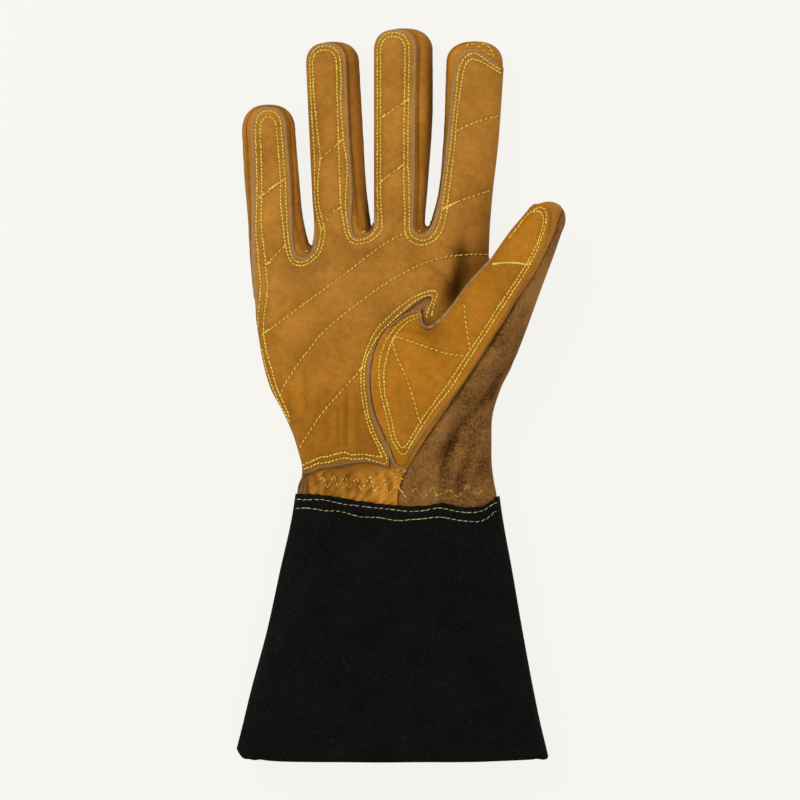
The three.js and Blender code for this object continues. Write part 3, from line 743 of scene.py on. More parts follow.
def make_piece(name, points, faces, material, nodes, slot, wall=0.0, weld=0.0, **marks):
    """A mesh from points in millimetres, with marks as its float attributes, that stands for CAD nodes."""
    mesh = bpy.data.meshes.new(name)
    mesh.from_pydata((points * MM).tolist(), [], listed(faces))
    for key, values in marks.items():
        mesh.attributes.new(key, "FLOAT", "POINT").data.foreach_set("value", np.asarray(values, np.float32))
    if weld:
        work = bmesh.new()
        work.from_mesh(mesh)
        bmesh.ops.remove_doubles(work, verts=work.verts, dist=weld * MM)
        work.to_mesh(mesh)
        work.free()
    mesh.polygons.foreach_set("use_smooth", [True] * len(mesh.polygons))
    mesh.materials.append(material)
    piece = bpy.data.objects.new(name, mesh)
    bpy.context.scene.collection.objects.link(piece)
    if wall:
        solid = piece.modifiers.new("wall", "SOLIDIFY")
        solid.thickness = wall * MM
        solid.offset = -1
    if nodes:
        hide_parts(*nodes)
    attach(piece, BODY)
    return piece


def band(lines, way):
    """Quads through lines of equal length, turned to face along way, a vector for each point of a line."""
    rows = np.stack(lines)
    points = rows.reshape(-1, 3)
    faces = grid_faces(*rows.shape[:2])
    a, b, c, d = (points[faces[:, k]] for k in range(4))
    if (np.cross(c - a, d - b) * way[faces[:, 0] % len(way)]).sum() < 0:
        faces = faces[:, ::-1]
    return points, faces


def arcs(start, end, corner_first, steps):
    """Lines between start and end on a quarter ellipse; corner_first says it leaves start level."""
    lines = []
    for angle in np.linspace(0, np.pi / 2, steps):
        s, c = math.sin(angle), math.cos(angle)
        plan, rise = (s, 1 - c) if corner_first else (1 - c, s)
        line = np.empty_like(start)
        line[:, :2] = start[:, :2] + (end[:, :2] - start[:, :2]) * plan
        line[:, 2] = start[:, 2] + (end[:, 2] - start[:, 2]) * rise
        lines.append(line)
    return lines


def side_wall(front, middle, back, bulge=True):
    """A side panel: out from its front seam to its widest line and in to the back, on quarter ellipses."""
    lines = arcs(front, middle, True, BULGE_STEPS) if bulge else [front]
    lines += arcs(middle if bulge else front, back, False, TUCK_STEPS)[1:]
    return band(lines, lift(middle[:, :2] - back[:, :2], np.zeros(len(front))))


# The hand's sides, from the wrist's left side round the fingers to its right side.
# Each has its front seam and its widest line, with the same count of points.

WRIST = -58.0  # where the hand ends inside the cuff
CORNER = -34.0  # where the suede takes over from the leather at the wrist's left side
FORK = 18.4  # where the thumb leaves the hand's right side
KNUCKLE = 46.0
INDEX_ROOT = 66.0
WEB_END = 44.0  # under the thumb the hand's side is leather above this and suede below it

SIDES = {
    "wrist_left": [palm_edge("left", WRIST, CORNER)] * 2,
    "palm_left": [palm_edge("left", CORNER, KNUCKLE, 0.1), palm_edge("left", CORNER, KNUCKLE)],
    "little": [
        finger_edge(FINGERS["little"], -1, "seam_left", "seam_tip", KNUCKLE),
        finger_edge(FINGERS["little"], -1, "left", "tip", KNUCKLE),
    ],
}
for place, gap in enumerate(("little_ring", "ring_middle", "middle_index")):
    SIDES[gap] = [
        gap_line(place, "seam_left", "seam_right", "seam_tip", FRONT_NOTCHES),
        gap_line(place, "left", "right", "tip", SIDE_NOTCHES),
    ]
SIDES["index"] = [
    finger_edge(FINGERS["index"], 1, "seam_right", "seam_tip", INDEX_ROOT)[::-1],
    finger_edge(FINGERS["index"], 1, "right", "tip", INDEX_ROOT)[::-1],
]
SIDES["palm_right"] = [
    palm_edge("right", INDEX_ROOT, WEB_END, 0.1),
    palm_edge("right", INDEX_ROOT, WEB_END),
]
SIDES["under_thumb"] = [palm_edge("right", WEB_END, FORK, 0.1), palm_edge("right", WEB_END, FORK)]
SIDES["wrist_right"] = [palm_edge("right", FORK, WRIST)] * 2

HAND_OUTLINE = np.concatenate([widest for _, widest in SIDES.values()])
BACK_INSET = 0.9
BACK_OUTLINE = HAND_OUTLINE - outward(HAND_OUTLINE) * BACK_INSET
BACK_SEAMS = dict(zip(SIDES, np.split(BACK_OUTLINE, np.cumsum([len(w) for _, w in SIDES.values()])[:-1])))

# The thumb's outline and its seams

THUMB_LEFT = thumb_edge("left", 41.6)
THUMB_RIGHT = thumb_edge("right", 46.0)[::-1]
SEAM_END = int(np.argmin(np.linalg.norm(THUMB_RIGHT - np.array(SUEDE_SEAM[0]), axis=1)))
SUEDE_LINE = curve([tuple(THUMB_RIGHT[SEAM_END])] + SUEDE_SEAM[1:])
SEAM_LINE = curve(THUMB_SEAM_IN)
CROTCH_LINE = curve(THUMB_CROTCH[:-1] + [tuple(THUMB_LEFT[0])])
FOLD_LINE = curve([tuple(THUMB_RIGHT[-1])] + SUEDE_FOLD[1:-1] + [(17.2, WRIST)])
WRIST_SEAM = curve([(0.7, -38.9), (-1.4, -45.6), (-1.6, WRIST)])
TAB_LEFT = -43.7  # the leather tab's left edge under the palm overlay

PALM_PANEL = chain(
    SIDES["palm_left"][0], SIDES["little"][0], SIDES["little_ring"][0], SIDES["ring_middle"][0],
    SIDES["middle_index"][0], SIDES["index"][0], SIDES["palm_right"][0], SIDES["under_thumb"][0],
    curve([(53.0, FORK), (40, 20), (24, 21), (14, 25), (8.6, 28.5), (7.4, 33), (7.9, 38)])[1:],
    SEAM_LINE[::-1], WRIST_SEAM[1:], [(TAB_LEFT, WRIST), (TAB_LEFT, CORNER - 1)],
)
THUMB_PANEL = chain(SEAM_LINE, CROTCH_LINE[1:], THUMB_LEFT, THUMB_RIGHT[:SEAM_END + 1], SUEDE_LINE[1:])
THUMB_SUEDE = chain(SUEDE_LINE[::-1], THUMB_RIGHT[SEAM_END:], FOLD_LINE[1:], WRIST_SEAM[::-1])
HAND_SUEDE = chain(FOLD_LINE[::-1], SIDES["wrist_right"][0])
WRIST_CORNER = chain([(TAB_LEFT, WRIST), (TAB_LEFT, CORNER + 2)], SIDES["wrist_left"][0][::-1])


def resample_closed(line, step):
    """A closed line in even steps, without a doubled end."""
    return resample(np.vstack([line, line[:1]]), step)[:-1]


def softened(line, times):
    """An open line whose inner points move towards the mean of their neighbours, times over."""
    line = line.copy()
    for _ in range(times):
        line[1:-1] = (line[:-2] + 2 * line[1:-1] + line[2:]) / 4
    return line


OVER = 1.5  # how far an overlay's face stands off the leather under it
WRAP = 1.2  # how far an overlay reaches past the leather's side, where it turns down over it
TURN = 4.5  # how far it goes down there
RIM = 1.8  # the width of an overlay's raw cut edge
DROP = 2.6  # how far the raw edge goes down to the leather under it, and in a seam that much less
SEAM_DROP = 1.8
EDGE_STEP = 0.7  # between the points of an overlay's edge
PATCH_RISE = [(-68.8, 36), (-69.0, 42)]  # the overlay's edge between the palm and the little finger


def palm_patch_line():
    """The palm overlay's raw edge in plan."""
    fingers = list(FINGERS.values())
    low = palm_edge("left", -37.4, 30)
    low[:, 0] -= 0.1 + (WRAP - 0.1) * ramp(low[:, 1], -37, -26)
    parts = [low, PATCH_RISE, finger_edge(fingers[0], -1, "patch_left", "patch_tip", 48)]
    for k in range(3):
        parts.append(gap_line(k, "patch_left", "patch_right", "patch_tip", PATCH_NOTCHES))
    left = parts[-1]
    parts[-1] = left[:int(np.argmax(left[:, 1] * (left[:, 0] > 20) > INDEX_TIP[0][1]))]
    right = finger_edge(fingers[3], 1, "patch_right", "patch_tip", INDEX_ROOT)[::-1]
    parts += [curve(INDEX_TIP), right[right[:, 1] < INDEX_TIP[-1][1] - 0.6]]
    parts.append(palm_edge("right", INDEX_ROOT, 27, -WRAP))
    parts += [curve(PATCH_BY_THUMB)[::-1], curve(PATCH_FOOT)[::-1]]
    return resample_closed(chain(*parts), EDGE_STEP)


def thumb_patch_line():
    """The thumb overlay's raw edge: up the seam, over the thumb's left side and down inside its right."""
    seam = SEAM_LINE[SEAM_LINE[:, 1] > -30.5] + [0.12, -0.08]
    low = curve([(3.4, -29.8), (2.9, -31.6), (1.2, -33.0), (-0.8, -33.2), (-2.2, -32.2), tuple(seam[0])])
    side = THUMB_LEFT + outward(np.vstack([THUMB_LEFT, THUMB_RIGHT]))[:len(THUMB_LEFT)]
    side = side[3:][side[3:, 0] < THUMB_PATCH_RIGHT[0][0] - 2.2]
    right = curve(THUMB_PATCH_RIGHT)
    return resample_closed(chain(low, seam[1:], CROTCH_LINE[2:-3], side, right), EDGE_STEP)


PALM_PATCH = palm_patch_line()
THUMB_PATCH = thumb_patch_line()

# How far the two stitch rows lie inside the overlay's edge at a finger's left, right and tip
ROW_INSETS = {
    "little": ((2.4, 2.7, 1.5), (4.7, 4.9, 4.4)),
    "ring": ((1.8, 2.8, 1.6), (3.2, 4.7, 3.5)),
    "middle": ((1.7, 3.5, 1.6), (3.2, 5.4, 3.5)),
}


def row_loop(name, row, low, high):
    """A stitch row round a finger's tip, which begins at low on its left and ends at high on its right."""
    form = FINGERS[name]
    left, right, tip = ROW_INSETS[name][row]
    rows = dict(form["rows"])
    rows["patch_left"] = rows["patch_left"] + left
    rows["patch_right"] = rows["patch_right"] - right
    inner = {"rows": rows, "patch_tip": form["patch_tip"] - tip}
    return np.concatenate([
        finger_edge(inner, -1, "patch_left", "patch_tip", low),
        finger_edge(inner, 1, "patch_right", "patch_tip", high)[-2::-1],
    ])


def palm_row(row):
    """One of the two rows along the overlay's edge, from the palm's left side to the index finger's tip."""
    parts = [curve(LEFT_ROWS[row])]
    for name, notch in zip(ROW_INSETS, NOTCH_ROWS):
        parts += [row_loop(name, row, parts[-1][-1, 1] + 3, notch[row][0][1] + 3), curve(notch[row])]
    return softened(resample(chain(*parts)[1:], 0.5), 12)


PALM_ROWS = [palm_row(0), palm_row(1)] + curves([LOW_LEFT_ROW] + BY_THUMB_ROWS + FOOT_ROWS)
THUMB_ROWS = curves(THUMB_ROW_POINTS)
PALM_LINES = curves(PALM_QUILT)
THUMB_LINES = curves(THUMB_QUILT)
SEAM_LINES = [SIDES[name][0] for name in ("little", "little_ring", "ring_middle", "middle_index")]
STITCH_DIP = 0.45  # how far a row of stitches sinks into the leather
ROW_DIP_WIDTH = 0.9
LINE_DIP_WIDTH = {"palm": 1.5, "thumb": 1.4}
SEAM_GROOVE = (0.7, 1.1)  # the depth and width of a seam's groove between two leathers
SET_IN = (0.8, 1.5)  # how far leather stands up along the seam that the thumb is set into


def hollow(points, lines, depth, width):
    """A groove along lines: -depth * exp(-(distance / width)^2)."""
    return -depth * np.exp(-(distance(points, lines, 3 * width) / width) ** 2)


def puff(points, lines, rise, width):
    """How leather swells away from stitching: it rises from the lines by rise, over about width."""
    return rise * (1 - np.exp(-(distance(points, lines, 3 * width) / width) ** 2))


def palm_relief(points):
    """Folds, soft waves, the crumpled wrist tab and the stitched lines of the palm."""
    x, y = points.T
    tab = ramp(-y, 33.5, 38) * ramp(-x, 0, 4) * ramp(x, -46, -40)
    gathers = np.sin(x * 2 * np.pi / 4.9 + 1.4 * np.sin(y / 3.1)) * ramp(-y, 35, 40) * ramp(y, -52, -44)
    waves = 0.28 * ripples(x, y, 9, 3) + 0.5 * ripples(x, y, 30, 4)
    across, along = (x - y) * 0.7, (x + y) * 0.7
    crumple = tab * (0.7 * ripples(across * 1.3, along * 0.5, 3.6, 5) + 0.45 * gathers)
    return folds(points, PALM_FOLDS) + waves + crumple


RIM_HOLD = 1.1  # how far the fingertips' height is carried on towards their left rims


def held_top(x, y, grow=0.0):
    """Height of the hand's top, held up at the fingertips' left rims, where the leather turns down late."""
    shift = RIM_HOLD * ramp(y, 118, 135)
    return np.maximum(hand_top(x, y, grow), hand_top(x + shift, y - shift, grow))


def palm_under(points):
    """Height of the palm's golden leather, which on the fingers is nowhere under their widest line."""
    x, y = points.T
    z = held_top(x, y) + palm_relief(points) + hollow(points, SEAM_LINES, *SEAM_GROOVE)
    lowest = np.maximum(4, waist(points) * ramp(y, 40, 60))
    return np.maximum(z - hollow(points, [SEAM_LINE], *SET_IN), lowest)


def palm_over(points):
    """Height of the palm overlay's face."""
    x, y = points.T
    z = held_top(x, y, OVER) + palm_relief(points)
    z += hollow(points, PALM_ROWS, STITCH_DIP, ROW_DIP_WIDTH)
    z += hollow(points, PALM_LINES, STITCH_DIP, LINE_DIP_WIDTH["palm"])
    return z + puff(points, PALM_LINES, 0.5, 5)


def thumb_relief(points):
    """Folds and soft waves of the thumb."""
    x, y = points.T
    return folds(points, THUMB_FOLDS) + 0.3 * ripples(x, y, 10, 7) + 0.3 * ripples(x, y, 26, 8)


def thumb_leather(points):
    """Height of the thumb's golden leather."""
    x, y = points.T
    z = thumb_top(x, y) + thumb_relief(points) + hollow(points, [SUEDE_LINE], *SEAM_GROOVE)
    return z - hollow(points, [SEAM_LINE], *SET_IN)


def thumb_over(points):
    """Height of the thumb overlay's face."""
    x, y = points.T
    z = thumb_top(x, y, OVER * (0.3 + 0.7 * ramp(y, -34, -22))) + thumb_relief(points)
    z += hollow(points, THUMB_ROWS, STITCH_DIP, ROW_DIP_WIDTH)
    z += hollow(points, THUMB_LINES, STITCH_DIP, LINE_DIP_WIDTH["thumb"])
    return z + puff(points, THUMB_LINES, 0.4, 5)


def suede_top(points):
    """Height of the suede beside the thumb and at the wrist."""
    x, y = points.T
    gather = 0.45 * ripples(x * 1.3, y * 0.7, 5, 12) * ramp(-y, 34, 42)
    z = thumb_top(x, y) + folds(points, SUEDE_FOLDS) + 0.35 * ripples(x * 1.2, y * 0.7, 11, 9) + gather
    return z + hollow(points, [SUEDE_LINE, WRIST_SEAM], 1.0, 1.2)


def back_under(points):
    """Height of the glove's back, which lies on the floor."""
    x, y = points.T
    return np.maximum(hand_under(x, y) + 0.25 * ramp(hand_under(x, y), 0.2, 3) * ripples(x, y, 12, 10), 0)


WAIST = table("y z", [[-62, 15.6], [30, 14.6], [57, 12.2], [72, 11.2], [175, 10.9]])


def waist(points):
    """Height of the hand's widest line."""
    return np.interp(points[:, 1], WAIST["y"], WAIST["z"])


def side_panel(name, front):
    """One stretch of the hand's side, with the front seam at the height that front gives."""
    seam, widest = SIDES[name]
    low = BACK_SEAMS[name]
    top = lift(seam, front(seam))
    bulge = not np.allclose(seam, widest)
    middle = lift(widest, np.minimum(waist(widest), top[:, 2]))
    return side_wall(top, middle, lift(low, back_under(low)), bulge)


def pulled_in(outline, inset):
    """An outline moved in by an inset for each point, which gather at one place in too sharp a corner."""
    line = outline - outward(outline) * inset[:, None]
    keep = np.flatnonzero(distance(line, [np.vstack([outline, outline[:1]])]) > inset * CLEAR)
    index = np.arange(len(line))
    return np.stack([np.interp(index, keep, line[keep, k], period=len(line)) for k in (0, 1)], 1)


# The raw edge's section: how far out and down each line of points lies, and how much of the cut shows there
RAW_EDGE = table("out down cut", [
    [0, 0, 0], [0.04, 0.02, 0.35], [0.3, 0.02, 0.6], [0.6, 0.05, 0.85], [0.86, 0.14, 1], [0.97, 0.4, 1],
    [1, 1, 0.6],
])


def overlay(outline, over, under, wraps, rim, drop, spacing):
    """A patch of leather and its raw edge, which goes out from its face's border and down to what is below.

    The edge is rim wide and goes down by drop at most. Where wraps is 1 it goes down over a side instead.
    Gives the mesh and a mark that is 1 in the middle of the raw edge.
    """
    inner = pulled_in(outline, rim)
    plan, faces = fill(inner, spacing)
    loop = np.append(np.arange(len(outline)), 0)
    way = (outline - inner)[loop]
    top = over(inner)[loop]
    level = np.maximum(under(outline) + 0.1, over(inner) - drop)
    fall = (wraps * np.maximum(over(inner) - TURN, waist(outline)) + (1 - wraps) * level)[loop]
    rows = [lift(inner[loop] + way * out, top + (fall - top) * down)
            for out, down in zip(RAW_EDGE["out"], RAW_EDGE["down"])]
    edge = band(rows, lift(way, np.full(len(way), 0.6)))
    marks = np.concatenate([np.zeros(len(plan)), np.outer(RAW_EDGE["cut"], (1 - wraps)[loop]).ravel()])
    return merged((lift(plan, over(plan)), faces), edge), marks


WELT_SIDES = 8


def cord(points, height):
    """A round cord along (x, y, radius) points on a surface: a ring at each step, closed by flat ends."""
    plan = softened(resample(np.array(points), 0.6), 6)
    core = lift(plan[:, :2], softened(height(plan[:, :2]), 12))
    along = np.gradient(core, axis=0)
    side = np.cross(along, [0, 0, 1.0])
    side /= np.linalg.norm(side, axis=1, keepdims=True)
    up = np.cross(side, along)
    up /= np.linalg.norm(up, axis=1, keepdims=True)
    turns = np.linspace(0, 2 * np.pi, WELT_SIDES + 1)[:-1, None]
    ring = np.cos(turns) * side[:, None] + np.sin(turns) * up[:, None]
    made = core[:, None] + ring * plan[:, 2][:, None, None]
    faces = grid_faces(len(core), WELT_SIDES, True)[:, ::-1].tolist()
    first = list(range(WELT_SIDES))
    last = [WELT_SIDES * (len(core) - 1) + corner for corner in reversed(first)]
    return made.reshape(-1, 3), faces + [first, last]


# Materials

def new_material(name):
    """A material, its node tree, its Principled shader and the place on the object that textures take."""
    material = bpy.data.materials.new(name)
    material.use_nodes = True
    tree = material.node_tree
    return material, tree, tree.nodes["Principled BSDF"], add(tree, "TexCoord", out="Object")


def add(tree, kind, settings=None, out=0, **links):
    """A node's output. Links give sockets, by name or as _number, a value or the output that feeds them."""
    node = tree.nodes.new("ShaderNode" + kind)
    for key, value in (settings or {}).items():
        setattr(node, key, value)
    link(tree, node, **links)
    return node.outputs[out]


def link(tree, node, **links):
    """Sets or feeds a node's sockets, by their names or as _number."""
    for key, value in links.items():
        socket = node.inputs[int(key[1:])] if key[0] == "_" else node.inputs[key.replace("_", " ")]
        if isinstance(value, bpy.types.NodeSocket):
            tree.links.new(value, socket)
        elif socket.type == "RGBA" and len(value) == 3:
            socket.default_value = (*value, 1)
        else:
            socket.default_value = value


def per_mm(size):
    """A texture scale whose features are about size millimetres."""
    return 1000 / size


def noise(tree, where, size, detail, rough=0.5):
    """Noise with features of about size millimetres."""
    return add(tree, "TexNoise", None, "Fac",
               Vector=where, Scale=per_mm(size), Detail=detail, Roughness=rough)


def spread(tree, value, low, high, to_low, to_high):
    """A value between low and high, brought to between to_low and to_high."""
    return add(tree, "MapRange", _0=value, _1=low, _2=high, _3=to_low, _4=to_high)


def maths(tree, operation, *values, clamp=False):
    """The result of a Math node on some values."""
    sockets = {f"_{place}": value for place, value in enumerate(values)}
    return add(tree, "Math", {"operation": operation, "use_clamp": clamp}, **sockets)


def mixed(tree, factor, first, second, clamp=True):
    """Two colours mixed by a factor, which may go past 0 and 1 where clamp is off.

    In a Mix node of colours the factor is socket 0 and the colours are 6 and 7.
    """
    settings = {"data_type": "RGBA", "clamp_factor": clamp}
    return add(tree, "Mix", settings, 2, _0=factor, _6=first, _7=second)


def mark(tree, name):
    """A float that the mesh holds at its points."""
    return add(tree, "Attribute", {"attribute_name": name}, "Fac")


def grain_leather(name, light, dark, edge, warm):
    """Full-grain cowhide, drum dyed and lightly oiled.

    It gives a soft, low sheen, a fine pebbled grain of about 1 mm, clouds of tone a few centimetres wide,
    painted shade in its folds and grooves, painted highlight on their tops, warmer colour where it has
    taken more oil, and a paler fibrous edge at a cut.
    """
    material, tree, shader, where = new_material(name)
    shade = mark(tree, "shade")
    clouds = noise(tree, where, 24, 3.0, 0.5)
    clouds = spread(tree, clouds, 0.3, 0.7, -0.16, 0.2)
    mottle = noise(tree, where, 3.4, 5.0, 0.62)
    mottle = spread(tree, mottle, 0.32, 0.68, 0.0, 1.0)
    tone = maths(tree, "MULTIPLY_ADD", mottle, 0.24, clouds)
    oiled = mark(tree, "oiled")
    base = mixed(tree, oiled, light, warm)
    colour = mixed(tree, tone, base, dark, clamp=False)
    pores = add(tree, "TexVoronoi", None, "Distance", Vector=where, Scale=per_mm(1.1))
    fine = noise(tree, where, 0.8, 3.0, 0.6)
    speck = spread(tree, fine, 0.4, 0.75, 0.0, 0.22)
    colour = mixed(tree, speck, colour, dark)
    rim = mark(tree, "rim")
    worn = noise(tree, where, 2.6, 3.0, 0.6)
    worn = spread(tree, worn, 0.35, 0.62, 1.0, 0.6)
    rim = maths(tree, "MULTIPLY", rim, worn)
    fibre = noise(tree, where, 1.1, 4.0, 0.75)
    fibre = spread(tree, fibre, 0.45, 0.8, 0.0, 0.7)
    raw = mixed(tree, fibre, edge, dark)
    colour = mixed(tree, rim, colour, raw)
    # The shade mark mixes in the dark colour as painted shade, and where it is below 0 it lightens as
    # painted highlight
    colour = mixed(tree, shade, colour, dark, clamp=False)
    rough = maths(tree, "MULTIPLY_ADD", mottle, 0.1, 0.5)
    rough = maths(tree, "MULTIPLY_ADD", rim, 0.3, rough, clamp=True)
    height = maths(tree, "MULTIPLY_ADD", pores, 0.6, fine)
    height = maths(tree, "MULTIPLY_ADD", mottle, 0.5, height)
    bump = add(tree, "Bump", None, "Normal", Strength=0.6, Distance=0.00035, Height=height)
    link(tree, shader, Base_Color=colour, Roughness=rough, Normal=bump, IOR=1.45, Specular_IOR_Level=0.06)
    return material


def split_leather(name, light, dark, fleck, loose, sheen):
    """Split cowhide, the fibrous under-layer of the hide with a brushed nap.

    It gives a flat matt surface with a faint velvety rim of light, cloudy patches where the nap lies
    different ways, and pale flecks of loose fibre, as many as loose says.
    """
    material, tree, shader, where = new_material(name)
    # The shade mark: painted shade in the suede's valleys and seams and painted highlight on its ridges; on
    # the cuff it only makes the cut edge paler
    shade = mark(tree, "shade")
    clouds = noise(tree, where, 13, 4.0, 0.6)
    clouds = spread(tree, clouds, 0.32, 0.68, -0.24, 0.34)
    nap = noise(tree, where, 1.2, 5.0, 0.75)
    nap = spread(tree, nap, 0.35, 0.65, 0.0, 1.0)
    tone = maths(tree, "MULTIPLY_ADD", nap, 0.74, clouds)
    tone = maths(tree, "ADD", tone, shade, clamp=True)
    colour = mixed(tree, tone, light, dark)
    dots = noise(tree, where, 0.8, 2.0, 0.5)
    flecks = spread(tree, dots, 0.6, 0.8, 0.0, loose)
    colour = mixed(tree, flecks, colour, fleck)
    height = maths(tree, "MULTIPLY_ADD", dots, 0.8, nap)
    bump = add(tree, "Bump", None, "Normal", Strength=0.8, Distance=0.0004, Height=height)
    link(tree, shader, Base_Color=colour, Normal=bump, Roughness=0.92, Specular_IOR_Level=0.06,
         Sheen_Weight=sheen, Sheen_Roughness=0.5, Sheen_Tint=fleck)
    return material


def spun_thread(name, light, dark):
    """Heat resistant thread spun from short fibres.

    It gives a matt, slightly fuzzy yarn, a little darker at random: painted shade that stands for the
    hollows between its plies.
    """
    material, tree, shader, where = new_material(name)
    fuzz = noise(tree, where, 0.7, 3.0, 0.6)
    tone = noise(tree, where, 5, 2.0, 0.5)
    both = maths(tree, "ADD", fuzz, tone)
    both = spread(tree, both, 0.7, 1.35, 0.0, 1.0)
    colour = mixed(tree, both, light, dark)
    bump = add(tree, "Bump", None, "Normal", Strength=0.5, Distance=0.0001, Height=fuzz)
    link(tree, shader, Base_Color=colour, Normal=bump, Roughness=0.75, Specular_IOR_Level=0.2)
    return material


FLOOR_GLOW = 0.938  # as over a light table, so that shadows stay faint
FLOOR_GREY = 0.06


def paper_floor(colour):
    """A sheet of matt white studio paper, lit from below: no gloss, and only the faintest unevenness."""
    material, tree, shader, where = new_material("matt studio paper")
    soft = noise(tree, where, 120, 2.0)
    soft = maths(tree, "MULTIPLY", soft, 0.04)
    base = tuple(FLOOR_GREY * part for part in colour)
    colour_in = mixed(tree, soft, base, (0.2, 0.2, 0.2))
    link(tree, shader, Base_Color=colour_in, Roughness=0.95, Specular_IOR_Level=0.0,
         Emission_Color=colour, Emission_Strength=FLOOR_GLOW)
    return material


# Stitches

STITCH_SIDES = 6
SPANS = np.array([-1.0, -0.75, 0.0, 0.75, 1.0])  # where a stitch's rings lie along it


def stitches(lines, height, pitch, size, width, slant=0.22, sink=0.2, seed=1):
    """Stitches along plan lines, as small pointed capsules, each a little out of line by a seeded amount.

    Each is a ring of points carried along its length s from -1 to 1 with the radius
    width / 2 * sqrt(1 - s^4), arched by -sink * s^2, and it follows the height under its two ends.
    """
    rng = np.random.default_rng(seed)
    turns = np.arange(STITCH_SIDES) * 2 * np.pi / STITCH_SIDES
    made = []
    for line in lines:
        s = lengths(line)
        count = max(1, int(s[-1] / pitch))
        middle = (np.arange(count) + 0.5 + rng.normal(0, 0.05, count)) * s[-1] / count
        reach = size / 2 * (1 + rng.normal(0, 0.09, count))
        low, high = (np.stack([np.interp(place, s, column) for column in line.T], 1)
                     for place in (middle - reach, middle + reach))
        core = (low + high) / 2 + rng.normal(0, 0.07, (count, 2)) * width
        angle = slant + rng.normal(0, 0.08, count)
        x, y = ((high - low) / 2).T
        half = np.stack([x * np.cos(angle) - y * np.sin(angle), x * np.sin(angle) + y * np.cos(angle)], 1)
        start = lift(core - half, height(core - half))
        end = lift(core + half, height(core + half))
        half = (end - start) / 2
        side = np.cross(half, [0, 0, 1.0])
        side /= np.maximum(np.linalg.norm(side, axis=1, keepdims=True), 1e-6)
        up = np.cross(side, half)
        up /= np.maximum(np.linalg.norm(up, axis=1, keepdims=True), 1e-6)
        thick = (1 + rng.normal(0, 0.1, count))[:, None, None, None]
        radius = (width / 2 * np.sqrt(np.maximum(1 - SPANS ** 4, 0.02)))[:, None, None] * thick
        around = np.cos(turns)[:, None] * side[:, None, None] + np.sin(turns)[:, None] * up[:, None, None]
        arch = up[:, None] * (sink * SPANS ** 2)[:, None]
        spine = ((start + end) / 2)[:, None] + half[:, None] * SPANS[:, None] - arch
        made.append((spine[:, :, None] + radius * around).reshape(-1, 3))
    points = np.concatenate(made)
    firsts = np.arange(0, len(points), len(SPANS) * STITCH_SIDES)[:, None]
    ring = np.arange(STITCH_SIDES)
    tubes = firsts[..., None] + grid_faces(len(SPANS), STITCH_SIDES, True)[:, ::-1]
    last = firsts + (len(SPANS) - 1) * STITCH_SIDES
    faces = tubes.reshape(-1, 4).tolist() + (firsts + ring).tolist() + (last + ring[::-1]).tolist()
    return points, faces


def shaded(points, clouds, base=0.0):
    """How dark the leather is at plan points: soft spots of (x, y, reach x, reach y, amount)."""
    total = np.full(len(points), base)
    for x, y, across, along, amount in clouds:
        total += amount * spot(points[:, 0], points[:, 1], (x, y), (across, along))
    return total


SHADE_RANGE = (-0.4, 0.9)


def groove_shade(points, lines, amount, width):
    """Painted shade in the grooves beside seams and stitches: amount * exp(-distance / width)."""
    return amount * np.exp(-distance(points[:, :2], lines, 6) / width)


def low_down(points):
    """0 on the glove's upper face, and 1 far down on its sides: the weight of the painted shade there."""
    return np.clip((13.5 - points[:, 2]) / 6, 0, 1)


def beside(points, lines, near, far):
    """1 at plan points nearer than near to the lines, 0 past far and a smooth step between them."""
    return 1 - ramp(distance(points, lines, 5), near, far)


# Soft spots of (x, y, reach x, reach y, amount) that darken the leather, or lighten it where the amount is
# below 0: partly its own uneven tone, partly painted shade, as in the web beside the thumb, the crotch, the
# notches between the fingers and the valleys of the suede
PALM_TONE_AND_SHADE = [
    (-28, -22, 22, 18, 0.3), (-9, 8, 7, 26, 0.3), (28.6, 70, 3.5, 6, 0.4), (29, 59, 4.6, 9, 0.85),
    (25, 49, 4.5, 7, 0.8), (36, 60, 6, 9, 0.45), (12, 30, 7, 7, 0.9), (-40, 70, 9, 8, 0.12),
    (-4, 66, 22, 9, 0.12), (30, 84, 9, 12, 0.1), (-22, -34, 26, 3, 0.3), (-14, -22, 6, 7, 0.15),
    (-46, -38, 3, 3, 0.5), (-42, 50, 12, 10, 0.15), (-32, 20, 14, 10, 0.08), (36, 136, 10, 24, 0.1),
]
THUMB_TONE_AND_SHADE = [
    (14, 25, 7, 6, 0.1), (3, -6, 8, 18, 0.14), (50, 70, 18, 20, -0.05), (20, 8, 12, 14, -0.08),
    (34, 40, 8, 14, 0.12), (46, 44, 9, 14, 0.14),
]
SUEDE_TONE_AND_SHADE = [(30, -8, 8, 18, 0.12), (48, 20, 6, 8, 0.12), (38, -38, 10, 12, 0.1), (64, 56, 6, 22, -0.42)]
GUSSET_TONE_AND_SHADE = [
    (-15.6, 84, 1.6, 12, 0.75), (13.8, 92, 2.0, 20, 0.8), (-43, 74, 1.6, 6, 0.5), (14.9, 140, 2.3, 36, 0.7),
    (9.6, 130, 1.7, 40, -0.22), (-50, 104, 3.6, 30, -0.3), (-23, 130, 3, 40, 0.12),
]


# The sizes and colours that can be changed

def length_property(name, description, millimetres):
    """A length to choose, with its default in millimetres."""
    return bpy.props.FloatProperty(
        name=name, description=description, default=millimetres * MM, unit="LENGTH", precision=4)


def colour_property(name, description, colour):
    """A colour to choose, with an sRGB hex default."""
    return bpy.props.FloatVectorProperty(
        name=name, description=description, subtype="COLOR", size=3, min=0, max=1, default=linear(colour))


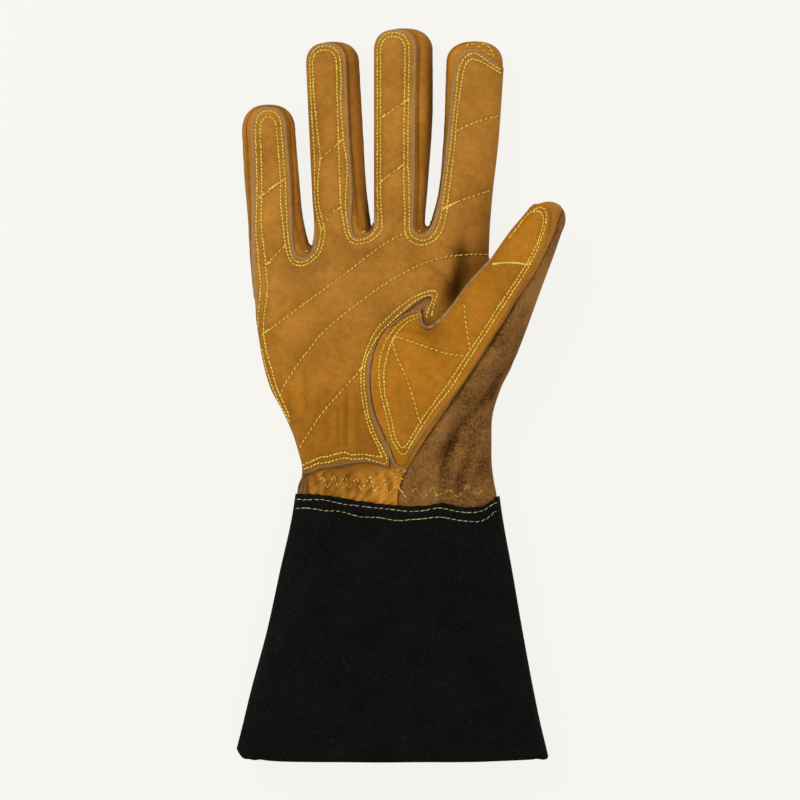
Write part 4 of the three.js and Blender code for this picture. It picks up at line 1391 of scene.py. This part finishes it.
class GloveSizes(bpy.types.PropertyGroup):
    """Sizes of the glove's leather, stitching and studio."""

    leather_wall: length_property("Leather", "Thickness of the hand's leather", 1.5)
    overlay_wall: length_property("Overlay", "Thickness of the overlays' leather", 1.0)
    cuff_wall: length_property("Cuff", "Thickness of the cuff's split leather", 1.8)
    mesh_step: length_property("Mesh step", "Distance between the points of the panels", 0.95)
    thread: length_property("Thread", "Width of the sewing thread", 0.8)
    row_pitch: length_property("Row pitch", "Length of one stitch and its gap in the double rows", 1.72)
    line_pitch: length_property("Line pitch", "Length of one stitch and its gap in the lines across", 2.35)
    cuff_pitch: length_property("Cuff pitch", "Length of one stitch and its gap on the cuff", 2.75)
    camera_height: length_property("Camera height", "Height of the camera over the floor", 1915)
    floor: length_property("Floor", "Width of the floor", 3000)


class GloveColours(bpy.types.PropertyGroup):
    """Colours of the glove's leathers, thread and floor."""

    # The dark colours of the overlay, hand, finger sides and suede serve both for the leather's random
    # mottle and for painted shade in its folds, grooves and hollows
    tan: colour_property("Overlay", "Tan leather of the overlays", "#b97e2f")
    tan_oiled: colour_property("Overlay, oiled", "Tan leather with more oil, on thumb and heel", "#b8771d")
    tan_dark: colour_property("Overlay, dark", "Tan leather in folds and worn places", "#4c2c04")
    gold: colour_property("Hand", "Golden leather of palm and thumb", "#c0812a")
    gold_dark: colour_property("Hand, dark", "Golden leather in folds", "#5c3506")
    gusset: colour_property("Finger sides", "Orange-brown leather between the fingers", "#b47629")
    gusset_dark: colour_property("Finger sides, dark", "The same leather in folds", "#3c2005")
    edge: colour_property("Raw edge", "Cut edges of the overlays", "#a68761")
    suede: colour_property("Suede", "Brown split leather of the back", "#a1713b")
    suede_dark: colour_property("Suede, dark", "The same leather where its nap lies away", "#452704")
    suede_fleck: colour_property("Suede fibre", "Loose fibre on the brown split leather", "#c0955c")
    cuff: colour_property("Cuff", "Black split leather of the cuff", "#131211")
    cuff_dark: colour_property("Cuff, dark", "The same leather where its nap lies away", "#080707")
    cuff_fleck: colour_property("Cuff fibre", "Loose fibre on the cuff", "#54524c")
    # The dark thread colours are painted shade for the hollows between the plies
    thread: colour_property("Thread", "Yellow sewing thread", "#f4d660")
    thread_dark: colour_property("Thread, dark", "Sewing thread between its plies", "#c9a232")
    pale_thread: colour_property("Cuff thread", "Pale thread on the cuff", "#cccb8e")
    pale_thread_dark: colour_property("Cuff thread, dark", "Pale thread between its plies", "#83835c")
    floor: colour_property("Floor", "Studio paper", "#f7f6f1")


def value_names(group):
    """The names of the values that a property group holds."""
    return [key for key in group.bl_rna.properties.keys() if key not in ("rna_type", "name")]


def sizes():
    """The chosen sizes, in millimetres."""
    group = bpy.context.scene.glove_sizes
    return {key: getattr(group, key) / MM for key in value_names(group)}


FINISHES = {  # the function that makes each material, the colours it takes and its other values
    "full-grain cowhide, tan": (grain_leather, "tan tan_dark edge tan_oiled"),
    "full-grain cowhide, golden": (grain_leather, "gold gold_dark edge gold"),
    "full-grain cowhide, gusset": (grain_leather, "gusset gusset_dark edge gusset"),
    "split suede cowhide": (split_leather, "suede suede_dark suede_fleck", 0.8, 0.08),
    "black split cowhide": (split_leather, "cuff cuff_dark cuff_fleck", 0.26, 0.03),
    "spun aramid thread": (spun_thread, "thread thread_dark"),
    "spun aramid thread, pale": (spun_thread, "pale_thread pale_thread_dark"),
}


def finish(name):
    """A material by its real name, made when it is first asked for."""
    if name in bpy.data.materials:
        return bpy.data.materials[name]
    maker, keys, *values = FINISHES[name]
    chosen = bpy.context.scene.glove_colours
    return maker(name, *(tuple(getattr(chosen, key)) for key in keys.split()), *values)


# The pieces

WELD = 0.004  # panels' points that lie nearer than this, in mm, are one point


def palm_wraps():
    """How far the palm overlay turns down over the leather's side along its edge, from 0 to 1."""
    x, y = PALM_PATCH.T
    sides = [SIDES[name][1] for name in ("palm_left", "index", "palm_right", "under_thumb")]
    wraps = beside(PALM_PATCH, sides, 1.7, 3.2) * ramp(y, -36.5, -33)
    wraps *= np.where(x < -60, 1 - ramp(y, 32, 42), 1)
    for notch, name in zip(SIDE_NOTCHES, ("ring", "middle")):
        start = notch[-1][1]
        edge = finger_edge(FINGERS[name], -1, "left", "tip", start)
        top = edge[:, 1].max()
        near = beside(PALM_PATCH, [edge], 1.4, 2.2) * (x < edge[:, 0].max())
        near *= ramp(y, start - 2, start + 10) * (1 - ramp(y, top - 11, top - 3))
        wraps = np.maximum(wraps, near)
    return wraps


def palm_rim(wraps, seam):
    """The width of the palm overlay's raw edge, narrow where it turns down and in the thumb's seam."""
    x, y = PALM_PATCH.T
    rim = RIM * (1 - 0.88 * wraps) * (1 + 0.15 * seam) * (1 - 0.85 * seam * ramp(y, 15, 28))
    crotch = (x > 8) & (x < 16) & (y > 35) & (y < 47.5)
    return np.where(crotch, 0.35, rim)


class GLOVE_OT_palm(bpy.types.Operator):
    """The palm's golden leather with its turned sides, and the tan overlay on it."""

    bl_idname = "glove.palm"
    bl_label = "Palm"

    def execute(self, context):
        """Makes the palm leather and its overlay."""
        size = sizes()
        parts = [panel(PALM_PANEL, palm_under, size["mesh_step"])]
        parts += [side_panel(name, palm_under) for name in ("palm_left", "index", "palm_right")]
        points, faces = merged(*parts)
        plan = points[:, :2]
        tab = ramp(-plan[:, 1], 33, 38)
        # Painted shade: the spots in the web and the crotch, the seams' grooves, the sides lower down and
        # the hollows of the folds and of the tab's crumples, with painted highlight on their tops; the
        # turned corner is held at a fixed painted shade
        shade = shaded(plan, PALM_TONE_AND_SHADE) + groove_shade(plan, SEAM_LINES, 0.4, 0.6) + 0.3 * low_down(points)
        shade -= 0.5 * np.clip(palm_relief(plan), -1, 1) * tab + 0.3 * folds(plan, PALM_FOLDS)
        turned = inside(plan, np.array(TURNED_CORNER))
        shade = np.clip(np.where(turned, 0.35, shade), *SHADE_RANGE)
        make_piece("palm_leather", points, faces, finish("full-grain cowhide, golden"), ["palm_front"],
                   "golden_grain", size["leather_wall"], WELD, shade=shade, rim=0.9 * turned)

        wraps = palm_wraps()
        seam = beside(PALM_PATCH, [SEAM_LINE], 2, 3.4)
        (points, faces), cut = overlay(PALM_PATCH, palm_over, palm_under, wraps, palm_rim(wraps, seam),
                                       DROP - SEAM_DROP * seam, size["mesh_step"])
        plan = points[:, :2]
        # Painted shade beside the stitching and in the folds' hollows, with painted highlight on their tops
        shade = shaded(plan, PALM_TONE_AND_SHADE) + groove_shade(plan, PALM_ROWS + PALM_LINES, 0.3, 0.7)
        shade = np.clip(shade - 0.3 * folds(plan, PALM_FOLDS), *SHADE_RANGE)
        oiled = 0.9 * ramp(-plan[:, 1], -60, 20)
        make_piece("palm_overlay", points, faces, finish("full-grain cowhide, tan"), ["palm_patch"],
                   "tan_grain", size["overlay_wall"], WELD, shade=shade, rim=cut, oiled=oiled)
        return {"FINISHED"}


CROTCH_SKIRT = (0.5, -0.2)  # how far the thumb's leather runs on where it goes down into the crotch


def welt_height(plan):
    """Height of the middle of the raw edge in the thumb's seam, on the higher of the overlays."""
    return np.maximum(thumb_over(plan), palm_over(plan)) + 0.1


class GLOVE_OT_thumb(bpy.types.Operator):
    """The thumb's golden leather, the tan overlay on it and the raw edge in its seam."""

    bl_idname = "glove.thumb"
    bl_label = "Thumb"

    def execute(self, context):
        """Makes the thumb leather, its overlay and its welt."""
        size = sizes()
        foot = CROTCH_LINE + CROTCH_SKIRT
        start, end = lift(CROTCH_LINE, thumb_leather(CROTCH_LINE)), lift(foot, hand_top(*foot.T) - 1)
        skirt = band(arcs(start, end, True, 6), np.tile([-1.0, 0.6, 0], (len(foot), 1)))
        points, faces = merged(panel(THUMB_PANEL, thumb_leather, size["mesh_step"]), skirt)
        # Painted shade: spots by the crotch and the seam, and the groove of the suede's seam
        shade = shaded(points, THUMB_TONE_AND_SHADE) + groove_shade(points, [SUEDE_LINE], 0.4, 0.5)
        make_piece("thumb_leather", points, faces, finish("full-grain cowhide, golden"), ["thumb_front"],
                   "golden_grain", size["leather_wall"], WELD, shade=shade)

        side = beside(THUMB_PATCH, [THUMB_LEFT[10:]], 1.5, 2.6)
        seam = beside(THUMB_PATCH, [SEAM_LINE, CROTCH_LINE], 1.2, 2.4)
        rim = RIM * np.where(THUMB_PATCH[:, 1] < -8, 0.5, 0.24) * (1 - 0.7 * np.maximum(side, seam))
        (points, faces), cut = overlay(THUMB_PATCH, thumb_over, thumb_leather, side, rim,
                                       DROP - SEAM_DROP * seam, size["mesh_step"])
        plan = points[:, :2]
        cut *= np.maximum(ramp(plan[:, 1], -28, -23), ramp(plan[:, 0], 2.5, 4.5))
        # Painted shade beside the stitching and in the folds' hollows, with painted highlight on their tops
        shade = shaded(plan, THUMB_TONE_AND_SHADE) + groove_shade(plan, THUMB_ROWS + THUMB_LINES, 0.3, 0.7)
        shade -= 0.3 * folds(plan, THUMB_FOLDS)
        make_piece("thumb_overlay", points, faces, finish("full-grain cowhide, tan"), ["thumb_patch"],
                   "tan_grain", size["overlay_wall"], WELD, shade=shade, rim=cut,
                   oiled=np.ones(len(points)))

        points, faces = merged(cord(WELT, welt_height), cord(LOW_WELT, welt_height))
        shade = 0.1 + 0.3 * ripples(points[:, 0], points[:, 1], 3, 51)
        make_piece("thumb_welt", points, faces, finish("full-grain cowhide, tan"), [], "tan_grain",
                   shade=shade, rim=np.full(len(points), 0.85))
        return {"FINISHED"}


def suede_shade(points, base):
    """How dark the suede is: soft spots, and folds with painted highlight on top and painted shade in their
    valleys.
    """
    relief = 0.14 * folds(points[:, :2], SUEDE_FOLDS)
    return shaded(points, SUEDE_TONE_AND_SHADE, base) - np.clip(relief, -0.42, 0.22)


UNDER_STEP = 1.6  # between the points on the thumb's underside
BACK_STEP = 1.8
CUFF_TUCK = 1.2  # how far the suede is pressed down under the cuff's edge


class GLOVE_OT_suede(bpy.types.Operator):
    """The brown split leather: beside and under the thumb, at the wrist, and the whole back."""

    bl_idname = "glove.suede"
    bl_label = "Suede"

    def execute(self, context):
        """Makes the thumb's suede and the back's."""
        size = sizes()
        front = panel(THUMB_SUEDE, suede_top, size["mesh_step"])
        free = chain(thumb_edge("left", 38), thumb_edge("right", 38)[::-1])
        under = panel(free, lambda plan: thumb_under(*plan.T), UNDER_STEP, -1)
        low = thumb_under(*free.T)
        high = np.maximum(thumb_leather(free), low + 0.05)
        edge = band([lift(free, high), lift(free, low)], lift(outward(free), np.zeros(len(free))))
        points, faces = merged(front, under, edge)
        # Painted shade also in the groove of the suede's seam
        shade = suede_shade(points, -0.16) + groove_shade(points, [SUEDE_LINE], 0.5, 0.8)
        make_piece("thumb_suede", points, faces, finish("split suede cowhide"), ["thumb_back"], "suede",
                   size["leather_wall"], WELD, shade=shade)

        parts = [panel(outline, suede_top, size["mesh_step"]) for outline in (HAND_SUEDE, WRIST_CORNER)]
        parts += [side_panel(name, suede_top) for name in ("wrist_left", "wrist_right")]
        parts += [side_panel("under_thumb", palm_under), panel(BACK_OUTLINE, back_under, BACK_STEP, -1)]
        points, faces = merged(*parts)
        x, y, z = points.T
        points[:, 2] -= CUFF_TUCK * ramp(cuff_top_y(x) - y, 0.2, 2) * ramp(-y, 43, 45) * ramp(z, 17, 20)
        make_piece("back_suede", points, faces, finish("split suede cowhide"), ["back_panel"], "suede",
                   size["leather_wall"], WELD, shade=suede_shade(points, 0.0))
        return {"FINISHED"}


GUSSETS = (  # each piece, the stretch of the hand's side that it is and the node it stands for
    ("little_finger_strip", "little", "little_finger_side"),
    ("little_ring_gusset", "little_ring", "fourchette_little_ring"),
    ("ring_middle_gusset", "ring_middle", "fourchette_ring_middle"),
    ("middle_index_gusset", "middle_index", "fourchette_middle_index"),
)
GUSSET_WALL = 0.7  # as a share of the hand's leather


class GLOVE_OT_gussets(bpy.types.Operator):
    """The leather strips between the fingers and on the little finger's outer side."""

    bl_idname = "glove.gussets"
    bl_label = "Finger sides"

    def execute(self, context):
        """Makes the four side strips."""
        for name, side, node in GUSSETS:
            points, faces = side_panel(side, palm_under)
            x, y, z = points.T
            low = low_down(points) * np.where(x < -60, ramp(y, 46, 60), 1)
            points[:, 0] += 0.08 * ripples(x * 2, y * 0.5, 3, 21) * ramp(z, 6, 14) * ramp(-z, -20, -17)
            off = distance(points[:, :2], SEAM_LINES, 5)
            roll = np.exp(-((off - 1.3) / 0.35) ** 2) * (z > 12) * (1 - ramp(y, 80, 92))
            # Painted shade: darker down the sides, in the notches' spots, in the seam's groove and in the
            # groove beside the roll
            shade = shaded(points, GUSSET_TONE_AND_SHADE) + 0.5 * low + 0.4 * np.exp(-off / 0.35) + 0.4 * roll
            points[:, 2] -= 0.35 * roll
            make_piece(name, points, faces, finish("full-grain cowhide, gusset"), [node], "gusset",
                       sizes()["leather_wall"] * GUSSET_WALL, shade=np.clip(shade, *SHADE_RANGE))
        return {"FINISHED"}


CUFF_FOOT = -174.2
CUFF_WRIST = -50  # about where its upper edge lies
CUFF_BACK_TOP = -49.0  # where that edge lies on the back
CUFF_LENGTH = 120
CUFF_STEPS = 320
CUFF_ROWS = np.concatenate([np.linspace(0, 0.95, 84), np.linspace(0.96, 1, 8)])  # closer at its upper edge
CUT_EDGE = 0.9  # the width of the paler cut at the cuff's upper edge
HEM_RISE = 2.0  # how far the cuff's sewn edge stands off the wrist
HEM_DROP = 2.6  # how far it is brought down there at most
LIP_BACK = 1.2  # how far the upper lip of the mouth lies back, and how much more at its right corner
CORNER_BACK = 1.4
CUFF_CORNER = [(-76.5, -154.4), (-72.5, -162.5), (-66, -173.4)]


def cuff_top_y(x):
    """Where the cuff's upper edge lies over the wrist."""
    points = np.array(CUFF_TOP)
    return smooth(x, points[:, 0], points[:, 1])


def cuff_foot_y(x):
    """Where the cuff's mouth ends: a little higher at both sides, and rounded at its left corner."""
    return CUFF_FOOT + 0.9 * ramp(x, 35, 72) + 7.0 * ramp(-x, 73, 80.5) ** 1.5 + 0.8 * ramp(-x, 56, 74)


def cuff_form(theta, t):
    """The cuff's outer face: round the section by theta, and from its mouth, t = 0, to the wrist, t = 1.

    Each section is a superellipse, flatter under than above; its place along the cuff depends on x,
    so it is worked out in three rounds.
    """
    up = np.sin(theta)
    across = np.cos(theta)
    power = np.where(up >= 0, CUFF_ROUND[1], CUFF_ROUND[-1])
    upper = ramp(up, -0.4, 0.1)
    y = CUFF_FOOT + (CUFF_WRIST - CUFF_FOOT) * t
    for _ in range(3):
        left, right, high = (smooth(y, CUFF["y"], CUFF[k]) for k in ("left", "right", "high"))
        x = (left + right) / 2 + (right - left) / 2 * np.sign(across) * np.abs(across) ** (2 / power)
        fray = 0.2 * ripples(x, 0 * x, 5, 31) + 0.12 * ripples(x, 0 * x, 1.6, 32)
        top = cuff_top_y(x) * upper + (1 - upper) * CUFF_BACK_TOP + upper * ramp(t, 0.96, 1) * fray
        foot = cuff_foot_y(x)
        y = foot + (top - foot) * t
    z = high / 2 * (1 + np.sign(up) * np.abs(up) ** (2 / power))
    return x, y, z


def cuff_relief(x, y, upper):
    """Soft waves of the cuff's upper face, its creased corner and the lift of its wrist edge."""
    plan = np.stack([x.ravel(), y.ravel()], 1)
    crease = hollow(plan, [curve(CUFF_CORNER)], 1.6, 2.2).reshape(x.shape)
    waves = 0.9 * ripples(x, y * 0.4, 40, 33) + 0.3 * ripples(x, y, 12, 34)
    edge = 0.5 * ripples(x, 0 * x, 14, 35) * ramp(y, -66, -52)
    return (crease + waves + edge) * upper


def cuff_height(x, y, z, up):
    """The cuff's height with its relief, and its upper edge brought down to the leather that it is sewn to.

    up is the sine of the angle round the section, so both fade out towards the sides.
    """
    z = z + cuff_relief(x, y, ramp(up, 0, 0.35))
    edge = cuff_top_y(x)
    over = np.clip(z - hand_top(x, y) - HEM_RISE, 0, HEM_DROP)
    return z - over * ramp(y, edge - 8, edge - 1) * ramp(up, 0.25, 0.6)


def cuff_face(points):
    """Height of the cuff's upper face at plan points."""
    x, y = points.T
    left, right, high = (smooth(y, CUFF["y"], CUFF[k]) for k in ("left", "right", "high"))
    u = np.clip(np.abs(x - (left + right) / 2) / ((right - left) / 2), 0, 1)
    z = high / 2 * (1 + (1 - u ** CUFF_ROUND[1]) ** (1 / CUFF_ROUND[1]))
    return cuff_height(x, y, z, (1 - u ** 2) ** 0.5)


class GLOVE_OT_cuff(bpy.types.Operator):
    """The black gauntlet cuff, one open tube."""

    bl_idname = "glove.cuff"
    bl_label = "Cuff"

    def execute(self, context):
        """Makes the cuff."""
        theta, t = np.meshgrid(np.linspace(0, 2 * np.pi, CUFF_STEPS + 1)[:-1], CUFF_ROWS)
        x, y, z = cuff_form(theta, t)
        up = np.sin(theta)
        lip = ramp(up, -0.15, 0.1) * ramp(-y, 150, 174)
        y = y + lip * (LIP_BACK + CORNER_BACK * ramp(x, 62, 70))
        z = np.maximum(cuff_height(x, y, z, up), 0)
        points = np.stack([x, y, z], -1).reshape(-1, 3)
        faces = grid_faces(*theta.shape, closed=True)[:, ::-1]
        cut = np.exp(-(1 - t.ravel()) * CUFF_LENGTH / CUT_EDGE)
        make_piece("cuff_leather", points, faces, finish("black split cowhide"), ["cuff"], "black_split",
                   sizes()["cuff_wall"], shade=-1.2 * cut)
        return {"FINISHED"}


WRIST_ZIGZAG = [
    (-40.4, -42.8), (-36.9, -38.5), (-34.9, -44.2), (-31.5, -37.9), (-29.8, -44.0), (-26.3, -38.0),
    (-24.6, -44.4), (-21.0, -38.6), (-18.8, -45.3), (-14.4, -38.2), (-12.7, -45.7), (-7.7, -39.8),
    (-6.1, -47.4), (-2.0, -42.4), (2.4, -48.9),
]
SUEDE_ZIGZAG = [
    (2.4, -48.9), (6.9, -43.7), (10.5, -48.9), (15.2, -43.2), (16.6, -47.5), (23.3, -44.7), (26.6, -48.5),
    (31.4, -42.3), (35.6, -47.3), (43.2, -41.3),
]
TAB_ROWS = [
    [(-2.7, -34.6), (-0.2, -35.9), (2.9, -36.5)],
    [(-4.5, -36), (-3.4, -37.9), (-1.4, -39.1), (1.5, -39.7)],
    [(-1.8, -42.5), (2.9, -49)],
]
NOTCH_THREADS = [[(-18.6, 77.3), (-16.5, 77.2)], [(8.2, 77.6), (9.6, 77.6)], [(-45.6, 68.4), (-43.8, 67.7)]]
CUFF_SEWING = table("drop wave seed", [[2.2, 0.4, 41], [6.6, 0.6, 42]])  # two rows under the cuff's edge
HALF_WRIST = 49

# Kinds of stitch: the pitch and length in mm, the width as a share of the thread's, and how far the
# stitch's middle lies over the leather
TACK = (1.0, 1.5, 1.4, 0.4)
LOOSE_END = (2.5, 2.1, 0.78, 0.3)
TAB_GATHER = (1.5, 1.55, 0.62, 0.25)
TAB_SEAM = (2.1, 2.1, 0.75, 0.5)
SUEDE_GATHER = (1.5, 1.4, 0.42, 0.2)


def kind_of(pitch, length, width, over):
    """A kind of stitch whose length is given as a share of its pitch."""
    return pitch, pitch * length, width, over


def sew(lines, face, kind, seed, slant=0.22):
    """Stitches of one kind along plan lines on a leather's face."""
    pitch, length, width, over = kind
    thread = sizes()["thread"] * width
    return stitches(lines, lambda plan: face(plan) + over, pitch, length, thread, slant, seed=seed)


def turns_of(zigzag, part):
    """The corners of a zigzag, each with the parts of its two legs that show above the gathers."""
    z = np.array(zigzag)
    before, here, after = z[:-2], z[1:-1], z[2:]
    return list(np.stack([here + (before - here) * part, here, here + (after - here) * part], 1))


def cuff_row(drop, wave, seed):
    """A row of sewing across the cuff, a drop under its upper edge and a little wavy."""
    u = np.linspace(-0.985, 0.985, 260)
    x = u * HALF_WRIST
    y = cuff_top_y(x) - drop + wave * ripples(x, 0 * x, 16, int(seed))
    left, right = (smooth(y, CUFF["y"], CUFF[k]) for k in ("left", "right"))
    return np.stack([(left + right) / 2 + (right - left) / 2 * u, y], 1)


class GLOVE_OT_stitching(bpy.types.Operator):
    """All the visible sewing: double rows, lines across, the wrist's zigzag and the cuff's two rows."""

    bl_idname = "glove.stitching"
    bl_label = "Stitching"

    def execute(self, context):
        """Makes the four groups of stitches."""
        size = sizes()
        row = kind_of(size["row_pitch"], 0.92, 1, 0.2)
        line = kind_of(size["line_pitch"], 0.78, 0.75, 0.2)
        loose = sew(curves(TIP_THREADS + NOTCH_THREADS), palm_under, LOOSE_END, 5)
        for name, rows, across, tacks, face, more in (
            ("palm_stitching", PALM_ROWS, PALM_LINES, PALM_TACKS, palm_over, [loose]),
            ("thumb_stitching", THUMB_ROWS, THUMB_LINES, THUMB_TACKS, thumb_over, []),
        ):
            sewn = merged(sew(rows, face, row, 2), sew(across, face, line, 3),
                          sew(curves(tacks), face, TACK, 4), *more)
            make_piece(name, *sewn, finish("spun aramid thread"), [], "tan_grain")
        sewn = merged(
            sew(turns_of(WRIST_ZIGZAG, 0.42), palm_under, TAB_GATHER, 6, 0),
            sew(curves(TAB_ROWS, 0.5), palm_under, TAB_SEAM, 7),
            sew(turns_of(SUEDE_ZIGZAG, 0.4), suede_top, SUEDE_GATHER, 8, 0))
        make_piece("wrist_stitching", *sewn, finish("spun aramid thread"), [], "golden_grain")
        rows = [cuff_row(*values) for values in zip(*CUFF_SEWING.values())]
        sewn = sew(rows, cuff_face, kind_of(size["cuff_pitch"], 0.86, 0.46, 0.15), 9, 0.06)
        make_piece("cuff_stitching", *sewn, finish("spun aramid thread, pale"), [], "black_split")
        return {"FINISHED"}


FLOOR_DROP = 0.0004  # metres under the glove, so that the two faces never meet
LENS = 180  # long, so that the glove's height hardly shows
SENSOR = 36
LAMPS = (  # place and width in metres, and power in watts
    ("key softbox", (-0.75, 0.8, 1.25), 0.9, 13),
    ("fill softbox", (1.1, -0.5, 1.2), 1.4, 3),
)
ROOM_LIGHT = {"Color": (1, 0.99, 0.97, 1), "Strength": 0.62}


class GLOVE_OT_studio(bpy.types.Operator):
    """The pale floor, the soft light and the camera looking straight down."""

    bl_idname = "glove.studio"
    bl_label = "Studio"

    def execute(self, context):
        """Makes the floor, lights and camera."""
        scene = context.scene
        half = scene.glove_sizes.floor / 2
        corners = [(-half, -half, 0), (half, -half, 0), (half, half, 0), (-half, half, 0)]
        mesh = bpy.data.meshes.new("floor")
        mesh.from_pydata(corners, [], [(0, 1, 2, 3)])
        mesh.materials.append(paper_floor(tuple(scene.glove_colours.floor)))
        floor = bpy.data.objects.new("floor", mesh)
        floor.location.z = -FLOOR_DROP
        scene.collection.objects.link(floor)

        camera = bpy.data.objects.new("camera", bpy.data.cameras.new("camera"))
        camera.data.lens = LENS
        camera.data.sensor_width = SENSOR
        camera.location = (PHOTO_CENTRE[0] * MM, PHOTO_CENTRE[1] * MM, scene.glove_sizes.camera_height)
        scene.collection.objects.link(camera)
        scene.camera = camera

        for name, place, width, power in LAMPS:
            light = bpy.data.lights.new(name, "AREA")
            light.shape = "SQUARE"
            light.size = width
            light.energy = power
            lamp = bpy.data.objects.new(name, light)
            lamp.location = place
            lamp.rotation_euler = (-Vector(place)).to_track_quat("-Z", "Y").to_euler()
            scene.collection.objects.link(lamp)
        world = bpy.data.worlds.new("studio")
        world.use_nodes = True
        for key, value in ROOM_LIGHT.items():
            world.node_tree.nodes["Background"].inputs[key].default_value = value
        scene.world = world
        scene.view_settings.view_transform = "Standard"
        return {"FINISHED"}


STEPS = (GLOVE_OT_studio, GLOVE_OT_palm, GLOVE_OT_thumb, GLOVE_OT_suede, GLOVE_OT_gussets, GLOVE_OT_cuff,
         GLOVE_OT_stitching)


class GLOVE_PT_sidebar(bpy.types.Panel):
    """The glove's steps, sizes and colours."""

    bl_idname = "GLOVE_PT_sidebar"
    bl_label = "Leather Gauntlet Glove"
    bl_space_type = "VIEW_3D"
    bl_region_type = "UI"
    bl_category = "Glove"

    def draw(self, context):
        """Lists the steps, then the values that can be changed."""
        for step in STEPS:
            self.layout.operator(step.bl_idname)
        for group in (context.scene.glove_sizes, context.scene.glove_colours):
            for key in value_names(group):
                self.layout.prop(group, key)


CLASSES = (GloveSizes, GloveColours, *STEPS, GLOVE_PT_sidebar)


def register():
    """Registers the classes and hangs the values on the scene."""
    for part in CLASSES:
        bpy.utils.register_class(part)
    bpy.types.Scene.glove_sizes = bpy.props.PointerProperty(type=GloveSizes)
    bpy.types.Scene.glove_colours = bpy.props.PointerProperty(type=GloveColours)


def unregister():
    """Takes the values and classes away again."""
    del bpy.types.Scene.glove_colours
    del bpy.types.Scene.glove_sizes
    for part in reversed(CLASSES):
        bpy.utils.unregister_class(part)


def main():
    """Builds the whole scene."""
    register()
    for step in STEPS:
        group, name = step.bl_idname.split(".")
        getattr(getattr(bpy.ops, group), name)()


if __name__ == "__main__":
    main()
